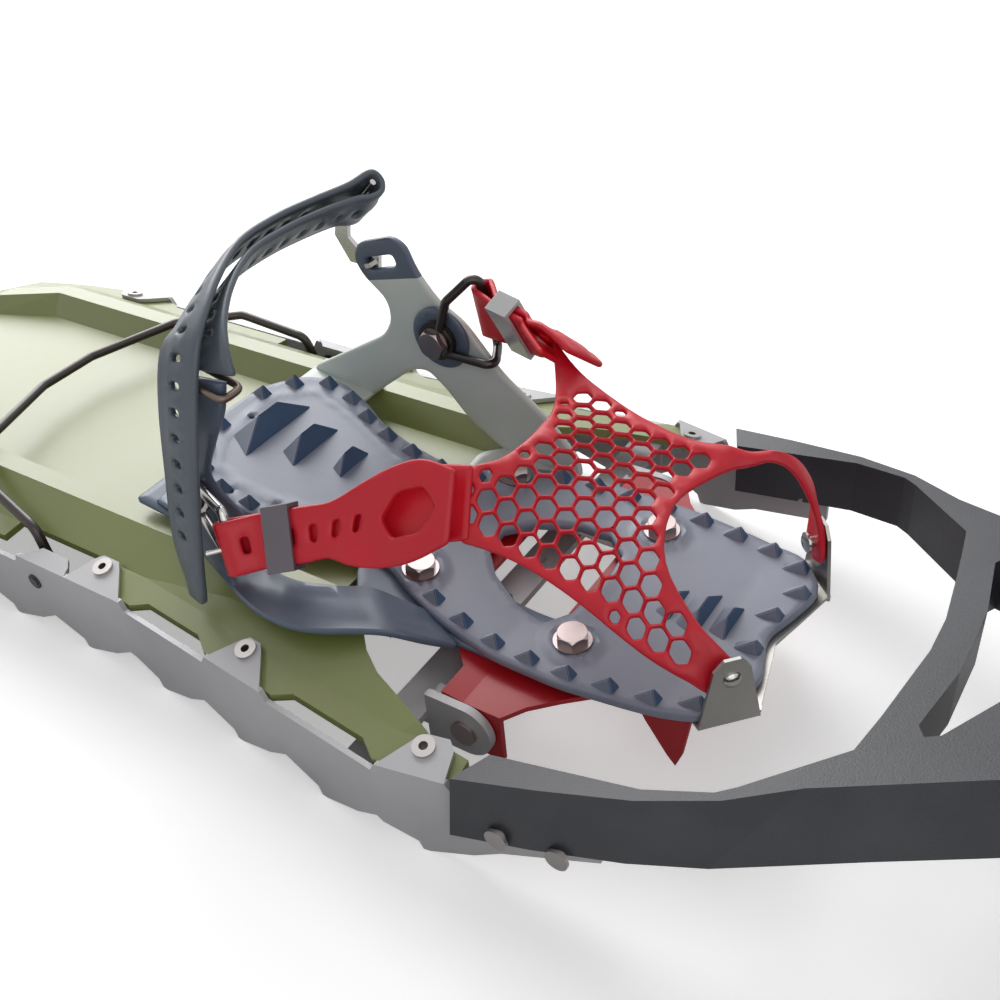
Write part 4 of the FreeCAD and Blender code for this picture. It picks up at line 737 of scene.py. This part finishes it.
class Drape:
    """Smooth skin through the worn rim: a thin plate from the flat blank to the three directions."""

    def __init__(self, rim):
        self.rim = np.array([blank_place(p) for p in rim])
        size = len(rim)
        ones = np.column_stack([np.ones(size), self.rim])
        system = np.zeros((size + 3, size + 3))
        system[:size, :size] = self.kernel(self.rim) + np.eye(size) * SLACK
        system[:size, size:] = ones
        system[size:, :size] = ones.T
        self.weights = np.linalg.solve(system, np.vstack([np.array(rim, float), np.zeros((3, 3))]))

    def kernel(self, places):
        """Bending influence of each rim point on each place."""
        gap = ((places[:, None, :] - self.rim[None, :, :]) ** 2).sum(2) + 1e-9
        return gap * np.log(gap) / 2

    def at(self, x, y):
        """Worn place of points of the blank."""
        places = np.column_stack([x, y])
        return np.hstack([self.kernel(places), np.ones((len(x), 1)), places]) @ self.weights

    def bend(self, x, y, h):
        """Worn place of points that stand off the blank by h."""
        along = self.at(x + 0.5, y) - self.at(x - 0.5, y)
        across = self.at(x, y + 0.5) - self.at(x, y - 0.5)
        up = np.cross(along, across)
        up /= np.linalg.norm(up, axis=1)[:, None]
        return self.at(x, y) + up * h[:, None]


def hexagon(x, y, radius, turn=30.0, long=1.0):
    """Hexagonal window with slightly rounded corners."""
    angles = [math.radians(60 * k + turn) for k in range(6)]
    corners = [(x + radius * long * math.cos(a), y + radius * math.sin(a)) for a in angles]
    return rounded(corners, radius * 0.2, 2)


skin = Drape(MESH_RIM)
blank = [tuple(p) for p in smooth_rows([blank_place(p) for p in MESH_RIM], 4)]
low, high = np.min(blank, 0), np.max(blank, 0)
windows = []
for row, y in enumerate(np.arange(low[1], high[1], WINDOW_PITCH * math.sqrt(3) / 2)):
    xs = np.arange(low[0] + (row % 2) * WINDOW_PITCH / 2, high[0], WINDOW_PITCH)
    ys = np.full(len(xs), y)
    for x, fits, room in zip(xs, inside(blank, xs, ys), edge_distance([blank], xs, ys) - BORDER):
        radius = min(WINDOW_R, room)
        if fits and radius > LEAST_WINDOW and x < TONGUE_START:
            windows.append(hexagon(x, y, radius))

mesh_red = finish("red rubber", (0.66, 0.004, 0.020), (0.78, 0.008, 0.032), 0.45, grain=900, bump=0.1,
                  coat=0.12, clear=0.1, haze=0.35)
mesh_panel = moulded("forefoot_panel", blank, windows, STRAP_T, skin.bend, None, 2.5)
dress(mesh_panel, mesh_red, "binding", "mesh", "forefoot_mesh")

NEAR_LEAD = [((50, -33, 84.5), (4, -8.5, -8)), ((36, -37, 81.5), (4, -8.5, -9)),
             ((20, -43, 76), (3, -8.2, -9.5))]
NEAR_START = ((6, -52, 70.5), (2.0, -5.4, -7.6))
NEAR_TAB = [((16, -51, 76), (2, -9, -10.5)), ((26, -48, 80), (2.6, -10, -13)),
            ((37, -44.5, 84.5), (3, -10, -13)), ((48, -40, 87), (2.5, -7, -9))]
FAR_LEAD = [((42, 37, 96.5), (3, 7, -7))]
FAR_START = ((29, 45, 97.5), (2.0, 6.8, -8.8))
FAR_TAB = [((37, 44.8, 101.6), (2.6, 7.4, -8.2)), ((45, 42.0, 101.2), (3.2, 7.5, -7.2)),
           ((52, 38.8, 99.6), (3.6, 6.0, -5.6))]
LEFT_BAR = ((1.8, 51.1, 113.0), (1.6, 56.6, 87.4))
RIGHT_BAR = ((-31.1, -66.0, 74.5), (-20.1, -73.0, 52.3))
LOOP_R = 1.8
CLEAR = 0.3
STRAP_GAP = 0.7
FOLD_BLEND = 9.0
KEEPER_REACH = 9.0
KEEPER_FRONT = 5.0


def fold_rows(start, bar, outward, place):
    """Stations of a strap that runs to a bar, turns round it and lies back over itself."""
    high, low = Vector(bar[0]), Vector(bar[1])
    middle = (low + high) / 2
    begin, begin_half = Vector(start[0]), Vector(start[1])
    half = (low - high).normalized() * begin_half.length
    out = (middle - begin).cross(half).normalized()
    out = out if out.dot(Vector(outward)) > 0 else -out
    wrap = LOOP_R + 2 * CLEAR + STRAP_T / 2
    turn = middle - out * wrap
    along = (turn - begin).normalized()
    spot = begin + (turn - begin) * place
    close = turn - along * FOLD_BLEND

    def at(point):
        share = (point - begin).length / (turn - begin).length
        return (begin_half * (1 - share) + half * share).normalized() * half.length
    grip = at(spot)
    lower = [(begin, begin_half), (spot - along * KEEPER_REACH, grip), (spot + along * KEEPER_FRONT, grip),
             (close, at(close))]
    rows = lower + [(turn, half)]
    for degrees in (-60, -30, 0, 30, 60, 90):
        a = math.radians(degrees)
        rows.append((middle + along * (wrap * math.cos(a)) + out * (wrap * math.sin(a)), half))
    for centre, width in reversed(lower):
        away = width.cross(along).normalized()
        away = away if away.dot(out) > 0 else -away
        rows.append((centre + away * (STRAP_T + STRAP_GAP), width))
    return [(tuple(c), tuple(h)) for c, h in rows]


near_run = Run(NEAR_LEAD + fold_rows(NEAR_START, RIGHT_BAR, (0, -1, 0.5), 0.5) + NEAR_TAB)
far_run = Run(FAR_LEAD + fold_rows(FAR_START, LEFT_BAR, (0, 1, 0), 0.45) + FAR_TAB)
PULL_LONG = 1.2             # length of the pull opening over its width
LIP_W = 3.0                 # raised lip round the pull opening
LIP_H = 0.8
SLOT_PITCH = 8.5
SLOT = (1.3, 2.9)           # half length and half width of a strap slot
for name, run, ring, slots in (("strap_outer", near_run, 8.6, 6), ("strap_inner", far_run, 3.6, 2)):
    pull = run.total - ring * 1.25 - 5
    openings = [hexagon(pull, 0, ring, 0.0, PULL_LONG)] if run is near_run else []
    openings += [oblong(pull - ring * 1.25 - 9 - k * SLOT_PITCH, *SLOT, 1.2, 3) for k in range(slots)]

    def lip(x, y, edge, pull=pull, ring=ring):
        """Raised lip round the pull opening."""
        beyond = np.hypot((x - pull) / PULL_LONG, y) - ring - LIP_W
        return LIP_H / (1 + np.exp(beyond * 3.0))
    strap = moulded(name, rounded(run.outline(), 4), openings, STRAP_T, run.bend, lip, 2.2)
    dress(strap, mesh_red, "binding", "mesh")


# ---- Keepers ----
# Injection-moulded bands that hold the folded straps flat, and slide along them.  Both keep the
# frame's shapes; one is pale and one is smoke coloured.
keeper_clear = finish("pale keeper", (0.50, 0.50, 0.50), (0.60, 0.60, 0.60), 0.22, coat=0.4, clear=0.2)
keeper_smoke = finish("smoke keeper", (0.11, 0.09, 0.11), (0.16, 0.13, 0.16), 0.22, coat=0.4, clear=0.1)
paint(keeper_clear, "keeper_left")
paint(keeper_smoke, "keeper_right")


# ---- Heel strap ----
# Grey rubber strap with rectangular holes: hooked to the inner wing's tip, over the heel,
# through the frame at the outer wing's tip and down behind it.
HEEL_ROWS = [((-30, -55, 123.5), (9, 0, 1)), ((-33, -52.5, 128), (9, 0, 3)), ((-40, -44, 132), (8, 0, 4.5)),
             ((-49, -29, 134.5), (7.2, 0, 6)), ((-56, -10, 136), (6.3, 0, 6.6)), ((-57, 10, 136),
                                                                                  (6.2, 0, 6.5)),
             ((-55, 28, 135.5), (6.3, 0, 6.5)), ((-52.3, 42, 134.6), (6.5, 0, 6.5)), ((-49.8, 48, 133.3),
                                                                                      (7, 0, 7)),
             ((-48.8, 53, 133.7), (7, 0, 7)), ((-50.3, 55.6, 137), (7, 0, 7)), ((-52.8, 53, 140.4),
                                                                                (7, 0, 7)),
             ((-55, 43, 139.4), (6.5, 0, 6.5)), ((-58.5, 28, 139.3), (6.3, 0, 6.5)),
             ((-60.5, 10, 139.8), (6.2, 0, 6.5)), ((-59, -11, 139.8), (6.3, 0, 6.6)),
             ((-52, -31, 138), (7.2, 0, 6)), ((-45, -47, 134.5), (8, 0, 4.5)),
             ((-42, -57, 129), (9, 0, 2)), ((-41.5, -64, 112), (9.4, -1, 0)), ((-41, -70.5, 88),
                                                                               (9.4, -2, 0)),
             ((-41, -76, 62), (8.4, -2, 0)), ((-37.5, -80, 43), (4, -1, 0))]
HEEL_T = 2.4
HOLE_PITCH = 9.0
HOLE = (1.3, 2.3)           # half length and half width of a hole
HOLE_START = 14.0
HOLE_END = 18.0             # bare length at the tail
HOOK_SHARE = 0.42           # where the strap turns round the hook, left bare
HOOK_BARE = 12.0
MIDDLE_HALF = 4.4           # half width of the raised middle
MIDDLE_H = 0.7
heel_run = Run(HEEL_ROWS, 6)
hole_places = np.arange(HOLE_START, heel_run.total - HOLE_END, HOLE_PITCH)
heel_holes = [oblong(place, *HOLE, 1.2, 2) for place in hole_places
              if abs(place - heel_run.total * HOOK_SHARE) > HOOK_BARE]
heel_grey = finish("grey rubber", (0.085, 0.105, 0.130), (0.115, 0.140, 0.170), 0.4, grain=900, bump=0.1,
                   coat=0.1)


def heel_relief(s, t, edge):
    """Raised middle along the strap's row of holes."""
    return MIDDLE_H / (1 + np.exp((np.abs(t) - MIDDLE_HALF) * 3.0))


heel_strap = moulded("heel_strap_band", rounded(heel_run.outline(), 2.5), heel_holes, HEEL_T, heel_run.bend,
                     heel_relief, 2.6)
dress(heel_strap, heel_grey, "binding", "heel_strap", "heel_strap")


# ---- Heel buckle ----
# Dark steel frame, bent from round bar, that ties the strap's inner end to the outer wing's tip.
# Its corners are rounded and its ends are closed.
BUCKLE_AT = (-35.5, -55.2, 119.5)
BUCKLE_HALF = (11.5, 4.6)
BUCKLE_TILT = math.radians(-12)
BUCKLE_BAR_R = 1.35
dark_steel = finish("bronzed steel", (0.115, 0.085, 0.070), (0.170, 0.130, 0.110), 0.3, metallic=0.9,
                    bump=0.04)
buckle_bar = bpy.data.curves.new("heel_buckle_frame", "CURVE")
buckle_bar.dimensions = "3D"
buckle_bar.bevel_depth = BUCKLE_BAR_R * MM
buckle_bar.bevel_resolution = 3
loop = buckle_bar.splines.new("POLY")
buckle_line = oblong(0, *BUCKLE_HALF, 3.0, 4)
loop.points.add(len(buckle_line) - 1)
for knot, (u, v) in zip(loop.points, buckle_line):
    knot.co = ((BUCKLE_AT[0] + u * math.cos(BUCKLE_TILT) + BAY_EDGE) * MM, (BUCKLE_AT[1] + v) * MM,
               (BUCKLE_AT[2] + u * math.sin(BUCKLE_TILT)) * MM, 1)
loop.use_cyclic_u = True
buckle = placed("heel_buckle_frame", buckle_bar)
dress(buckle, dark_steel, "binding", "loop_steel", "heel_buckle")
